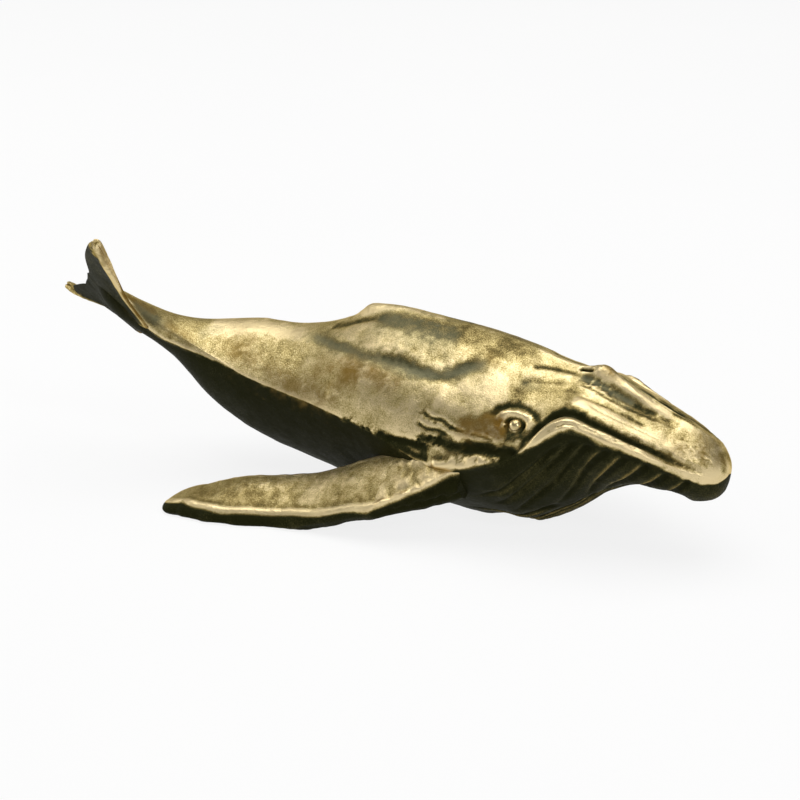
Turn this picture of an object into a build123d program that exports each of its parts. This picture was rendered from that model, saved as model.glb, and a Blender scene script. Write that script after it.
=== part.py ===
from build123d import *
import math
import os

# Humpback whale figurine: hollow cast back and belly, cast flukes and flippers, brazed together.
# Millimetres. Head towards +X, left flank towards +Y, +Z up, z = 0 is the surface it stands on.
# The origin is the middle of the ground flat under the throat, where the figurine rests.

# Driving dimensions
whale_length = 80.0
body_breadth = 22.0
body_depth = 24.0
casting_wall = 1.8
rest_sink = 0.3

# Flippers
flipper_chord = 6.6
flipper_thickness = 1.8
flipper_drop = 10.0

# Flukes
fluke_span = 23.0
fluke_chord = 11.0
fluke_thickness = 1.7

# Joints between the castings
tenon_diameter = 2.4
tenon_length = 5.0
tail_tenon_diameter = 1.5
tail_tenon_length = 3.0
tail_tenon_bite = 1.5
pin_diameter = 1.5
pin_length = 4.6
fit_clearance = 0.06
braze_leg = 0.7
braze_reach = 3.6
solder_seam = 0.08

# Small forms
eye_diameter = 1.5
eye_stem_diameter = 0.8
eye_stem_length = 1.6
eye_sink_share = 0.35
fin_length = 10.0
fin_height = 1.5
fin_thickness = 3.2
hump_length = 6.2
hump_height = 1.1
hump_width = 4.4
crest_diameter = 1.7
crest_proud = 0.45
eyelid_diameter = 2.3
eyelid_bead = 0.5
mouth_groove_diameter = 0.8
pleat_diameter = 0.8

half_breadth = body_breadth / 2

# Body stations from the tail to the snout. Each row holds where the parting line's middle lies
# (along the length, across as a share of the breadth, height as a share of the depth), the half
# width (share of the half breadth), and the rise of the back and the drop of the belly from
# there (shares of the depth).
station_shares = [
    (-0.390, -0.482, 0.842, 0.210, 0.054, 0.054),
    (-0.355, -0.400, 0.742, 0.227, 0.079, 0.067),
    (-0.312, -0.314, 0.638, 0.309, 0.129, 0.088),
    (-0.262, -0.227, 0.558, 0.473, 0.200, 0.183),
    (-0.206, -0.150, 0.504, 0.636, 0.254, 0.279),
    (-0.138, -0.077, 0.483, 0.782, 0.267, 0.363),
    (-0.069, -0.027, 0.471, 0.891, 0.346, 0.421),
    (0.000, 0.000, 0.454, 0.964, 0.417, 0.446),
    (0.075, 0.000, 0.400, 1.000, 0.475, 0.400),
    (0.144, 0.000, 0.350, 0.991, 0.508, 0.354),
    (0.200, 0.000, 0.408, 0.964, 0.429, 0.412),
    (0.234, 0.000, 0.458, 0.930, 0.352, 0.448),
    (0.294, 0.000, 0.621, 0.818, 0.158, 0.492),
    (0.331, 0.000, 0.629, 0.727, 0.137, 0.400),
    (0.375, 0.000, 0.575, 0.618, 0.142, 0.296),
    (0.419, 0.000, 0.521, 0.500, 0.137, 0.242),
    (0.456, 0.000, 0.475, 0.382, 0.125, 0.196),
    (0.4825, 0.000, 0.442, 0.236, 0.092, 0.133),
    (0.495, 0.000, 0.425, 0.100, 0.038, 0.054),
]

# How each station is turned, in degrees: heading, pitch and roll
station_turns = [
    (33, 38, 36),
    (31, 34, 32),
    (27, 27, 26),
    (23, 18, 20),
    (18, 6, 15),
    (14, 0, 10),
    (9, 0, 6),
    (2, 0, 3),
    (0, 0, 2),
    (0, 0, 1),
] + [(0, 0, 0)] * 9

# Fullness of the section above and below the parting line: lean, rise, reach and level of the
# two inner control points of the quarter curve, as shares of the half width and of the height
back_full_shares = [
    (0.15, 0.50, 0.50, 1.00),
    (0.25, 0.45, 0.40, 0.95),
    (0.30, 0.45, 0.35, 0.90),
    (0.28, 0.45, 0.35, 0.90),
    (0.22, 0.45, 0.38, 0.92),
    (0.15, 0.45, 0.42, 0.92),
    (0.08, 0.45, 0.46, 0.95),
    (0.02, 0.45, 0.48, 0.97),
    (0.00, 0.45, 0.46, 0.97),
    (0.00, 0.50, 0.46, 0.96),
    (0.02, 0.45, 0.44, 0.94),
    (0.08, 0.42, 0.40, 0.88),
    (0.15, 0.40, 0.34, 0.78),
    (0.18, 0.38, 0.30, 0.70),
    (0.18, 0.38, 0.30, 0.70),
    (0.18, 0.42, 0.34, 0.76),
    (0.14, 0.46, 0.42, 0.86),
    (0.08, 0.50, 0.50, 0.96),
    (0.05, 0.52, 0.52, 1.00),
]
belly_full_shares = [
    (0.15, 0.50, 0.50, 1.00),
    (0.15, 0.50, 0.50, 1.00),
    (0.10, 0.50, 0.50, 1.00),
    (0.08, 0.50, 0.45, 1.00),
    (0.12, 0.50, 0.40, 1.00),
    (0.14, 0.50, 0.36, 1.00),
    (0.16, 0.50, 0.34, 1.00),
    (0.18, 0.50, 0.30, 1.00),
    (0.20, 0.50, 0.28, 1.00),
    (0.20, 0.50, 0.28, 1.00),
    (0.18, 0.50, 0.30, 1.00),
    (0.14, 0.52, 0.34, 1.00),
    (0.10, 0.54, 0.38, 1.00),
    (0.08, 0.55, 0.42, 1.00),
    (0.06, 0.55, 0.46, 1.00),
    (0.05, 0.55, 0.50, 1.00),
    (0.05, 0.55, 0.50, 1.00),
    (0.05, 0.55, 0.50, 1.00),
    (0.05, 0.52, 0.52, 1.00),
]
last_station = len(station_shares) - 1
tail_station = 0
hollow_stations = range(4, 14)
tenon_forward_share = 0.13
tenon_height_share = 0.58
hump_forward_share = 0.3075
rear_pin_station = 3
front_pin_station = 15
eye_station = 11
eye_arc_share = 0.31
mouth_stations = range(12, 18)
mouth_arc_shares = (0.28, 0.24, 0.21, 0.195, 0.19, 0.20)
crest_stations = range(13, 17)

# Throat pleats: the station where each begins under the lip, then its arc share at that station
# and at each station behind it
pleat_starts = (16, 15, 14, 13)
pleat_arc_shares = (0.12, 0.40, 0.63, 0.78, 0.87, 0.92)

# Blade sections: how far the inner control points reach along the chord, and how far they and
# the edge's stand off it (shares of the chord and of the thickness)
blade_reach_share = 0.21
blade_bulge_share = 0.66
blade_blunt_share = 0.28

# Flipper stations from the root to the tip: along the whale's length, outward from the body's
# middle (share of the half breadth), height (share of the drop), chord (share of the flipper's
# chord), thickness (share), and the droop and toe of the chord in degrees
flipper_shares = [
    (0.156, 0.836, 0.72, 0.85, 1.60, 52, 2),
    (0.101, 0.985, 0.66, 0.97, 1.35, 47, 2),
    (0.044, 1.082, 0.53, 1.00, 1.10, 42, 2),
    (-0.016, 1.150, 0.33, 1.00, 1.00, 37, 3),
    (-0.075, 1.236, 0.20, 0.97, 0.95, 31, 5),
    (-0.134, 1.400, 0.15, 0.91, 0.90, 24, 6),
    (-0.176, 1.491, 0.105, 0.79, 0.82, 18, 8),
    (-0.206, 1.564, 0.075, 0.56, 0.68, 14, 10),
    (-0.224, 1.618, 0.065, 0.24, 0.42, 10, 12),
]

# Fluke blade from the middle to a tip: out (share of half the span), leading and trailing edge
# (shares of the chord, backwards from the stock's end), thickness (share)
fluke_shares = [
    (0.00, -0.34, 0.39, 1.25),
    (0.14, -0.30, 0.44, 1.20),
    (0.30, -0.16, 0.51, 1.05),
    (0.46, 0.00, 0.55, 0.95),
    (0.63, 0.14, 0.57, 0.85),
    (0.80, 0.28, 0.58, 0.72),
    (0.93, 0.41, 0.57, 0.58),
    (1.00, 0.49, 0.56, 0.40),
]

# Dorsal fin sections: rise above the back (share of its height), length, how far its middle
# lies behind its front end (shares of its length), and thickness (share)
fin_lead_share = 0.50
fin_station = 6
fin_shares = [
    (-0.90, 1.15, 0.52, 1.60),
    (0.10, 0.80, 0.62, 1.00),
    (0.75, 0.46, 0.74, 0.66),
    (1.00, 0.22, 0.78, 0.36),
]
hump_station = 12
fluke_pitch = 45
fluke_heading = 17
fluke_roll = 42


def unit_axes(heading, pitch, roll):
    """Forward, left and up directions of a section turned by heading, pitch and roll."""
    h = math.radians(heading)
    p = math.radians(pitch)
    r = math.radians(roll)
    forward = Vector(math.cos(p) * math.cos(h), math.cos(p) * math.sin(h), -math.sin(p))
    level_left = Vector(-math.sin(h), math.cos(h), 0)
    level_up = forward.cross(level_left)
    left = level_left * math.cos(r) - level_up * math.sin(r)
    up = level_up * math.cos(r) + level_left * math.sin(r)
    return forward, left, up


def station(k):
    """Centre, axes and sizes of body station k."""
    x, y, z, half, back, belly = station_shares[k]
    centre = Vector(x * whale_length, y * body_breadth, z * body_depth - rest_sink)
    forward, left, up = unit_axes(*station_turns[k])
    return centre, forward, left, up, half * half_breadth, back * body_depth, belly * body_depth


def quarter(half, height, full, side, seam=0):
    """Control points (across, height) of a quarter section, from the parting line to the middle."""
    lean, rise, reach, level = full
    return [
        (side * half, -seam),
        (side * half * (1 - lean), height * rise),
        (side * half * reach, height * level),
        (0, height),
    ]


def on_quarter(points, t):
    """Point on a quarter section's curve at share t, from the parting line to the middle."""
    weights = ((1 - t) ** 3, 3 * t * (1 - t) ** 2, 3 * t * t * (1 - t), t ** 3)
    across = sum(w * p[0] for w, p in zip(weights, points))
    height = sum(w * p[1] for w, p in zip(weights, points))
    return across, height


def body_point(k, t, side, above=True):
    """Point on the body's skin at station k, share t of the arc, side -1 right or +1 left."""
    centre, forward, left, up, half, back, belly = station(k)
    if above:
        across, height = on_quarter(quarter(half, back, back_full_shares[k], side), t)
    else:
        across, height = on_quarter(quarter(half, -belly, belly_full_shares[k], side), t)
    return centre + left * across + up * height


def half_section(k, above, inset=0, past_parting=0):
    """Closed wire of the back or the belly at station k, closed by the parting line.

    With an inset it is the core's section, which runs past the parting line.
    """
    centre, forward, left, up, half, back, belly = station(k)
    if above:
        height = back - inset
        full = back_full_shares[k]
        beyond = -past_parting
        seam = 0
    else:
        height = inset - belly
        full = belly_full_shares[k]
        beyond = past_parting
        seam = solder_seam
    half = half - inset

    def place(point):
        return centre + left * point[0] + up * point[1]

    right_curve = [place(p) for p in quarter(half, height, full, -1, seam)]
    left_curve = [place(p) for p in quarter(half, height, full, 1, seam)]
    edges = [
        Edge.make_bezier(*right_curve),
        Edge.make_bezier(*reversed(left_curve)),
    ]
    if past_parting:
        left_foot = place((half, beyond))
        right_foot = place((-half, beyond))
        edges.append(Edge.make_line(left_curve[0], left_foot))
        edges.append(Edge.make_line(left_foot, right_foot))
        edges.append(Edge.make_line(right_foot, right_curve[0]))
    else:
        edges.append(Edge.make_line(left_curve[0], right_curve[0]))
    return Wire(edges)


def body_half(above):
    """Solid casting of the back or the belly, from the stock's end to the snout."""
    return Solid.make_loft([half_section(k, above) for k in range(last_station + 1)])


def core(above):
    """Core that hollows a casting and leaves its wall."""
    wires = [half_section(k, above, casting_wall, casting_wall) for k in hollow_stations]
    return Solid.make_loft(wires)


def lens_wire(centre, chord_axis, thick_axis, chord, thickness):
    """Closed blade section: a full leading edge, thinning to the trailing edge."""
    lead = centre + chord_axis * (chord / 2)
    trail = centre - chord_axis * (chord / 2)
    reach = chord_axis * (chord * blade_reach_share)
    middle = thick_axis * (thickness / 2)
    bulge = thick_axis * (thickness * blade_bulge_share)
    blunt = thick_axis * (thickness * blade_blunt_share)
    sides = []
    for sign in (1, -1):
        ridge = centre + middle * sign
        front = Edge.make_bezier(lead, lead + blunt * sign, centre + reach + bulge * sign, ridge)
        behind = Edge.make_bezier(ridge, centre - reach + bulge * sign / 2, trail + blunt * sign, trail)
        sides.append((front, behind))
    (upper_front, upper_behind), (lower_front, lower_behind) = sides
    return Wire([upper_front, upper_behind, lower_behind, lower_front])


def flipper_station(k, side):
    """Centre, chord axis, thickness axis, chord and thickness of a flipper station."""
    x, out, height, chord, thick, droop, toe = flipper_shares[k]
    centre = Vector(x * whale_length, side * out * half_breadth, height * flipper_drop)
    d = math.radians(droop)
    t = math.radians(toe)
    chord_axis = Vector(-math.sin(t) * math.cos(d), side * math.cos(t) * math.cos(d), -math.sin(d))
    thick_axis = Vector(-math.sin(t) * math.sin(d), side * math.cos(t) * math.sin(d), math.cos(d))
    return centre, chord_axis, thick_axis, chord * flipper_chord, thick * flipper_thickness


def flipper_blade(side, swell=0):
    """Flipper from the root to the tip, thicker and wider all round by swell."""
    wires = []
    for k in range(len(flipper_shares)):
        centre, chord_axis, thick_axis, chord, thick = flipper_station(k, side)
        wires.append(lens_wire(centre, chord_axis, thick_axis, chord + 3 * swell, thick + 2 * swell))
    return Solid.make_loft(wires)


def flipper_root(side):
    """Middle of the joint between a flipper and the body."""
    forward = tenon_forward_share * whale_length
    return Vector(forward, side * half_breadth, flipper_shares[1][2] * flipper_drop)


def rod(start, direction, diameter, length):
    """Round rod from a start point along a direction."""
    return Solid.make_cylinder(diameter / 2, length, Plane(origin=start, z_dir=direction))


def tube_along(points, diameter):
    """Round bead along a spline through points, for a groove cut in the skin."""
    path = Edge.make_spline(points)
    ring = Wire.make_circle(diameter / 2, Plane(origin=path @ 0, z_dir=path % 0))
    return Solid.sweep(ring, path)


def fluke_axes():
    """Backward, right and up directions of the flukes."""
    forward, left, up = unit_axes(fluke_heading, fluke_pitch, fluke_roll)
    return forward * -1, left * -1, up


def fluke_blade():
    """Both fluke blades in one sheet across the stock's end."""
    centre = station(tail_station)[0]
    back_axis, right_axis, up_axis = fluke_axes()
    rows = [(-out, lead, trail, thick) for out, lead, trail, thick in reversed(fluke_shares[1:])]
    rows += fluke_shares
    wires = []
    for out, lead, trail, thick in rows:
        middle = (lead + trail) / 2 * fluke_chord
        chord = (trail - lead) * fluke_chord
        place = centre + right_axis * (out * fluke_span / 2) + back_axis * middle
        wires.append(lens_wire(place, back_axis * -1, up_axis, chord, thick * fluke_thickness))
    return Solid.make_loft(wires)


def largest(shape):
    """The largest solid of a shape that a cut may have parted."""
    return max(shape.solids(), key=lambda solid: solid.volume)


def cut(solid, *tools):
    """A solid less its tools, as one solid."""
    return largest(solid.cut(*tools))


def join(solid, *others):
    """Solids fused into one."""
    return largest(solid.fuse(*others))


def below_floor():
    """Block under the surface that the figurine stands on."""
    block = Solid.make_box(2 * whale_length, 2 * whale_length, body_depth)
    return block.moved(Location((-whale_length, -whale_length, -body_depth)))


def eye_axis(side):
    """Place of an eye on the skin and its outward direction."""
    place = body_point(eye_station, eye_arc_share, side)
    inner = station(eye_station)[0]
    return place, (place - inner).normalized()


def eye_bead(side, grow=0):
    """Round eye bead with the stem that holds it, larger all round by grow."""
    place, outward = eye_axis(side)
    radius = eye_diameter / 2
    middle = place - outward * (radius * eye_sink_share)
    bead = Solid.make_sphere(radius + grow, Plane(origin=middle))
    stem = rod(middle, outward * -1, eye_stem_diameter + 2 * grow, eye_stem_length + grow)
    return join(bead, stem)


def eyelid(side):
    """Raised ring of the eyelid round an eye."""
    place, outward = eye_axis(side)
    return Solid.make_torus(eyelid_diameter / 2, eyelid_bead / 2, Plane(origin=place, z_dir=outward))


def dorsal_fin():
    """Low dorsal fin, steep behind and long in front."""
    centre, forward, left, up, half, back, belly = station(fin_station)
    wires = []
    for rise, length, lag, thick in fin_shares:
        place = centre + up * (back + rise * fin_height) + forward * ((fin_lead_share - lag) * fin_length)
        wires.append(lens_wire(place, forward, left, length * fin_length, thick * fin_thickness))
    return Solid.make_loft(wires)


def blowhole_hump():
    """Rounded guard in front of the blowholes."""
    centre, forward, left, up, half, back, belly = station(hump_station)
    middle = Vector(hump_forward_share * whale_length, 0, (centre + up * back).Z)
    ball = Solid.make_sphere(hump_width / 2, Plane.XY)
    tall = 2 * hump_height / hump_width
    long = hump_length / hump_width
    return scale(ball, by=(long, 1, tall)).moved(Location(middle))


def rostrum_crest():
    """Bead along the middle of the snout."""
    sink = Vector(0, 0, crest_diameter / 2 - crest_proud)
    return tube_along([body_point(k, 1, 1) - sink for k in crest_stations], crest_diameter)


def mouth_groove(side):
    """Groove between the upper jaw and the lip."""
    arcs = zip(mouth_stations, mouth_arc_shares)
    return tube_along([body_point(k, t, side) for k, t in arcs], mouth_groove_diameter)


def throat_pleat(start, side):
    """Groove that runs back and down from the lip."""
    points = [body_point(start - n, t, side, False) for n, t in enumerate(pleat_arc_shares)]
    return tube_along(points, pleat_diameter)


def locating_pin(k, grow=0):
    """Pin across the parting line at station k."""
    centre, forward, left, up, half, back, belly = station(k)
    start = centre - up * (pin_length / 2 + grow)
    return rod(start, up, pin_diameter + 2 * grow, pin_length + 2 * grow)


def tail_tenon(grow=0):
    """Tenon that holds the flukes in the end of the tail stock."""
    centre, forward, left, up, half, back, belly = station(tail_station)
    start = centre - forward * tail_tenon_bite
    return rod(start, forward, tail_tenon_diameter + 2 * grow, tail_tenon_bite + tail_tenon_length + grow)


def flipper_tenon(side, grow=0):
    """Tenon that holds a flipper in the wall of the belly."""
    forward = tenon_forward_share * whale_length
    start = Vector(forward, side * half_breadth, tenon_height_share * flipper_drop)
    return rod(start, Vector(0, -side, 0), tenon_diameter + 2 * grow, tenon_length + grow)


def main():
    os.makedirs("parts", exist_ok=True)
    floor = below_floor()
    back = body_half(True)
    belly = body_half(False)
    sides = {"right": -1, "left": 1}
    parts = {}

    for name, side in sides.items():
        blade = flipper_blade(side)
        tenon = flipper_tenon(side)
        parts[name + "_flipper"] = join(cut(blade, back, belly, floor), tenon)
        ball = Solid.make_sphere(braze_reach, Plane(origin=flipper_root(side)))
        bead = largest(flipper_blade(side, braze_leg).intersect(ball))
        parts[name + "_flipper_braze"] = cut(bead, back, belly, blade, tenon)
        parts[name + "_eye"] = eye_bead(side)

    flukes = cut(fluke_blade(), back, belly)
    parts["tail_flukes"] = join(flukes, tail_tenon())
    parts["rear_pin"] = locating_pin(rear_pin_station)
    parts["front_pin"] = locating_pin(front_pin_station)

    sockets = [locating_pin(k, fit_clearance) for k in (rear_pin_station, front_pin_station)]
    sockets.append(tail_tenon(fit_clearance))
    back = cut(back, core(True))
    back = join(back, dorsal_fin(), blowhole_hump(), rostrum_crest(), eyelid(-1), eyelid(1))
    back = cut(back, *sockets)
    belly = cut(belly, core(False), floor, *sockets)
    for side in sides.values():
        pleats = [throat_pleat(start, side) for start in pleat_starts]
        back = cut(back, mouth_groove(side), eye_bead(side, fit_clearance))
        belly = cut(belly, flipper_tenon(side, fit_clearance), *pleats)
    parts["back_casting"] = back
    parts["belly_casting"] = belly

    for name, solid in parts.items():
        export_step(solid, "parts/" + name + ".step")


main()
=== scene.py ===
import bmesh
import bpy
import math
import numpy as np
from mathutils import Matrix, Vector, noise as perlin


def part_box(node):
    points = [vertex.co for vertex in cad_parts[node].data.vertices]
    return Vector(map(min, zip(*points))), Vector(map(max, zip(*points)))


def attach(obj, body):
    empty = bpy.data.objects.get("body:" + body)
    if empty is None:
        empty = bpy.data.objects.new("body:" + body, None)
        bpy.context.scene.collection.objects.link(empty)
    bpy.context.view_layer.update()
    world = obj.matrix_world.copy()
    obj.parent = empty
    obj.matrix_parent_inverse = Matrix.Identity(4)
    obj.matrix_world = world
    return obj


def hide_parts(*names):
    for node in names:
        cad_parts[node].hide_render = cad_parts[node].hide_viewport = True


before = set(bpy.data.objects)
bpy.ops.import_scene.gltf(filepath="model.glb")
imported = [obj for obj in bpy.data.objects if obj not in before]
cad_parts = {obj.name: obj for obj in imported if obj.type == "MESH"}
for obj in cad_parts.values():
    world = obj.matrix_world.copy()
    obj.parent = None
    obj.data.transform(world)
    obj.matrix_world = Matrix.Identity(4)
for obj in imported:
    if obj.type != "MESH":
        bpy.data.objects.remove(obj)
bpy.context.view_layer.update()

bl_info = {
    "name": "Brass Whale Figurine",
    "version": (1, 0, 0),
    "blender": (4, 5, 0),
    "location": "3D View > Sidebar > Whale",
    "description": "Builds the visible castings of a small antiqued brass whale figurine",
    "category": "Add Mesh",
}

MM = 0.001

# Driving sizes, read from the frame: the snout's tip lies at this share of the whale's length
SNOUT_SHARE = 0.495
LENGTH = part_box("back_casting")[1][0] / SNOUT_SHARE
BREADTH = LENGTH * 0.275
DEPTH = LENGTH * 0.300
REST_SINK = 0.3 * MM
FLIPPER_CHORD = 6.6 * MM
FLIPPER_THICKNESS = 1.8 * MM
FLIPPER_DROP = 10.0 * MM
FLUKE_SPAN = 23.0 * MM
FLUKE_CHORD = 11.0 * MM
FLUKE_THICKNESS = 1.7 * MM

# Body stations from the tail to the snout: forward (share of the length), left (share of the
# breadth), height of the parting line (share of the depth), half width (share of the half
# breadth), rise of the back and drop of the belly (shares of the depth)
STATION_SHARES = np.array([
    (-0.390, -0.482, 0.842, 0.210, 0.054, 0.054),
    (-0.355, -0.400, 0.742, 0.227, 0.079, 0.067),
    (-0.312, -0.314, 0.638, 0.309, 0.129, 0.088),
    (-0.262, -0.227, 0.558, 0.473, 0.200, 0.183),
    (-0.206, -0.150, 0.504, 0.636, 0.254, 0.279),
    (-0.138, -0.077, 0.483, 0.782, 0.267, 0.363),
    (-0.069, -0.027, 0.471, 0.891, 0.346, 0.421),
    (0.000, 0.000, 0.454, 0.964, 0.417, 0.446),
    (0.075, 0.000, 0.400, 1.000, 0.475, 0.400),
    (0.144, 0.000, 0.350, 0.991, 0.508, 0.354),
    (0.200, 0.000, 0.408, 0.964, 0.429, 0.412),
    (0.234, 0.000, 0.458, 0.930, 0.352, 0.448),
    (0.294, 0.000, 0.621, 0.818, 0.158, 0.492),
    (0.331, 0.000, 0.629, 0.727, 0.137, 0.400),
    (0.375, 0.000, 0.575, 0.618, 0.142, 0.296),
    (0.419, 0.000, 0.521, 0.500, 0.137, 0.242),
    (0.456, 0.000, 0.475, 0.382, 0.125, 0.196),
    (0.4825, 0.000, 0.442, 0.236, 0.092, 0.133),
    (0.495, 0.000, 0.425, 0.100, 0.038, 0.054),
])
STATION_TURNS = np.array([
    (33, 38, 36), (31, 34, 32), (27, 27, 26), (23, 18, 20), (18, 6, 15), (14, 0, 10), (9, 0, 6),
    (2, 0, 3), (0, 0, 2), (0, 0, 1),
] + [(0, 0, 0)] * 9)
BACK_FULL_SHARES = np.array([
    (0.15, 0.50, 0.50, 1.00), (0.25, 0.45, 0.40, 0.95), (0.30, 0.45, 0.35, 0.90),
    (0.28, 0.45, 0.35, 0.90), (0.22, 0.45, 0.38, 0.92), (0.15, 0.45, 0.42, 0.92),
    (0.08, 0.45, 0.46, 0.95), (0.02, 0.45, 0.48, 0.97), (0.00, 0.45, 0.46, 0.97),
    (0.00, 0.50, 0.46, 0.96), (0.02, 0.45, 0.44, 0.94), (0.08, 0.42, 0.40, 0.88),
    (0.15, 0.40, 0.34, 0.78), (0.18, 0.38, 0.30, 0.70), (0.18, 0.38, 0.30, 0.70),
    (0.18, 0.42, 0.34, 0.76), (0.14, 0.46, 0.42, 0.86), (0.08, 0.50, 0.50, 0.96),
    (0.05, 0.52, 0.52, 1.00),
])
BELLY_FULL_SHARES = np.array([
    (0.15, 0.50, 0.50, 1.00), (0.15, 0.50, 0.50, 1.00), (0.10, 0.50, 0.50, 1.00),
    (0.08, 0.50, 0.45, 1.00), (0.12, 0.50, 0.40, 1.00), (0.14, 0.50, 0.36, 1.00),
    (0.16, 0.50, 0.34, 1.00), (0.18, 0.50, 0.30, 1.00), (0.20, 0.50, 0.28, 1.00),
    (0.20, 0.50, 0.28, 1.00), (0.18, 0.50, 0.30, 1.00), (0.14, 0.52, 0.34, 1.00),
    (0.10, 0.54, 0.38, 1.00), (0.08, 0.55, 0.42, 1.00), (0.06, 0.55, 0.46, 1.00),
    (0.05, 0.55, 0.50, 1.00), (0.05, 0.55, 0.50, 1.00), (0.05, 0.55, 0.50, 1.00),
    (0.05, 0.52, 0.52, 1.00),
])

# Flipper stations from the root to the tip: forward (share of the length), outward (share of the
# half breadth), height (share of the drop), chord and thickness (shares), droop and toe in degrees
FLIPPER_SHARES = np.array([
    (0.156, 0.836, 0.720, 0.85, 1.60, 52, 2),
    (0.101, 0.985, 0.660, 0.97, 1.35, 47, 2),
    (0.044, 1.082, 0.530, 1.00, 1.10, 42, 2),
    (-0.016, 1.150, 0.330, 1.00, 1.00, 37, 3),
    (-0.075, 1.236, 0.200, 0.97, 0.95, 31, 5),
    (-0.134, 1.400, 0.150, 0.91, 0.90, 24, 6),
    (-0.176, 1.491, 0.105, 0.79, 0.82, 18, 8),
    (-0.206, 1.564, 0.075, 0.56, 0.68, 14, 10),
    (-0.224, 1.618, 0.065, 0.24, 0.42, 10, 12),
])

# Fluke blade from the middle to a tip: out (share of half the span), leading and trailing edge
# (shares of the chord, backwards from the stock's end), thickness (share)
FLUKE_SHARES = np.array([
    (0.00, -0.34, 0.39, 1.25),
    (0.14, -0.30, 0.44, 1.20),
    (0.30, -0.16, 0.51, 1.05),
    (0.46, 0.00, 0.55, 0.95),
    (0.63, 0.14, 0.57, 0.85),
    (0.80, 0.28, 0.58, 0.72),
    (0.93, 0.41, 0.57, 0.58),
    (1.00, 0.49, 0.56, 0.40),
])
FLUKE_TURN = (17, 45, 42)
EYE_STATION = 11.0
EYE_ARC = 0.31
EYE_DIAMETER = 1.5 * MM


# Shapes

def unit(v):
    """Vectors at length one, along the last axis."""
    return v / np.maximum(np.linalg.norm(v, axis=-1, keepdims=True), 1e-12)


def natural_spline(rows, at):
    """Natural cubic spline through rows of values, read at row numbers with a fraction."""
    rows = np.asarray(rows, float)
    count = len(rows)
    system = np.eye(count)
    right = np.zeros_like(rows)
    for i in range(1, count - 1):
        system[i, i - 1:i + 2] = 1, 4, 1
        right[i] = 6 * (rows[i + 1] - 2 * rows[i] + rows[i - 1])
    bend = np.linalg.solve(system, right)
    at = np.asarray(at, float)
    k = np.clip(at.astype(int), 0, count - 2)
    b = (at - k)[..., None]
    a = 1 - b
    return a * rows[k] + b * rows[k + 1] + ((a ** 3 - a) * bend[k] + (b ** 3 - b) * bend[k + 1]) / 6


def turned_axes(turns):
    """Forward, left and up directions for rows of heading, pitch and roll in degrees."""
    h, p, r = np.moveaxis(np.radians(turns), -1, 0)
    forward = np.stack([np.cos(p) * np.cos(h), np.cos(p) * np.sin(h), -np.sin(p)], -1)
    level_left = np.stack([-np.sin(h), np.cos(h), 0 * h], -1)
    level_up = np.cross(forward, level_left)
    r = r[..., None]
    left = level_left * np.cos(r) - level_up * np.sin(r)
    up = level_up * np.cos(r) + level_left * np.sin(r)
    return forward, left, up


def quarter_curve(t, half, height, full):
    """Across and height on a quarter section at share t, from the parting line to the middle."""
    lean, rise, reach, level = np.moveaxis(full, -1, 0)
    w0, w1, w2, w3 = (1 - t) ** 3, 3 * t * (1 - t) ** 2, 3 * t * t * (1 - t), t ** 3
    across = half * (w0 + w1 * (1 - lean) + w2 * reach)
    up = height * (w1 * rise + w2 * level + w3)
    return across, up


def body_skin(at, arc, side, above):
    """Points on the body: station numbers, arc shares, side -1 right or +1 left, back or belly."""
    at, arc, side, above = (np.asarray(v, float)
                            for v in np.broadcast_arrays(at, arc, side, above))
    size = natural_spline(STATION_SHARES, at)
    _, left, up = turned_axes(natural_spline(STATION_TURNS, at))
    centre = size[..., :3] * (LENGTH, BREADTH, DEPTH) - (0, 0, REST_SINK)
    half = np.maximum(size[..., 3], 0.02) * BREADTH / 2
    back = quarter_curve(arc, half, size[..., 4] * DEPTH, natural_spline(BACK_FULL_SHARES, at))
    belly = quarter_curve(arc, half, -size[..., 5] * DEPTH, natural_spline(BELLY_FULL_SHARES, at))
    across = np.where(above > 0.5, back[0], belly[0])
    rise = np.where(above > 0.5, back[1], belly[1])
    return centre + left * (side * across)[..., None] + up * rise[..., None]


def blade_ring(count):
    """Chord and thickness shares round a blade section: blunt in front, thin behind."""
    turn = np.linspace(0, 2 * np.pi, count, endpoint=False)
    c, s = np.cos(turn), np.sin(turn)
    blunt = np.where(c > 0, 0.55, 0.9)
    along = np.sign(c) * np.abs(c) ** blunt / 2
    fullness = 0.56 + 0.44 * (0.5 + along)
    return along, np.sign(s) * np.abs(s) ** blunt / 2 * np.sqrt(fullness)


def flipper_frame(at, side):
    """Centre, chord and thickness directions, chord and thickness along a flipper."""
    row = natural_spline(FLIPPER_SHARES, at)
    centre = np.stack([row[..., 0] * LENGTH, side * row[..., 1] * BREADTH / 2,
                       row[..., 2] * FLIPPER_DROP], -1)
    d = np.radians(row[..., 5])
    t = np.radians(row[..., 6])
    chord_axis = np.stack([-np.sin(t) * np.cos(d), side * np.cos(t) * np.cos(d), -np.sin(d)], -1)
    thick_axis = np.stack([-np.sin(t) * np.sin(d), side * np.cos(t) * np.sin(d), np.cos(d)], -1)
    chord = np.maximum(row[..., 3], 0.03) * FLIPPER_CHORD
    thick = np.maximum(row[..., 4], 0.05) * FLIPPER_THICKNESS
    return centre, chord_axis, thick_axis, chord, thick


# Carving: every fold, lip, groove and bead is a stroke along the skin

# Flanks and halves, as body_skin takes them, and the stains painted on the meshes' points: patina
# and wear, and painted shade, highlights and reflections
RIGHT, LEFT = -1, 1
BACK, BELLY = 1, 0
STAINS = ("patina_and_painted_shade", "wear_and_painted_highlight", "umber", "gold", "haze_and_painted_reflection")
PATH_SAMPLES = 60
SHORTEST_EASE = 1e-6
# How far a seed moves the noise, and what brings it to about -1 to 1
NOISE_SHIFT = np.array((3.7, 1.9, 5.3))
NOISE_SPREAD = 1.5
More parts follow.
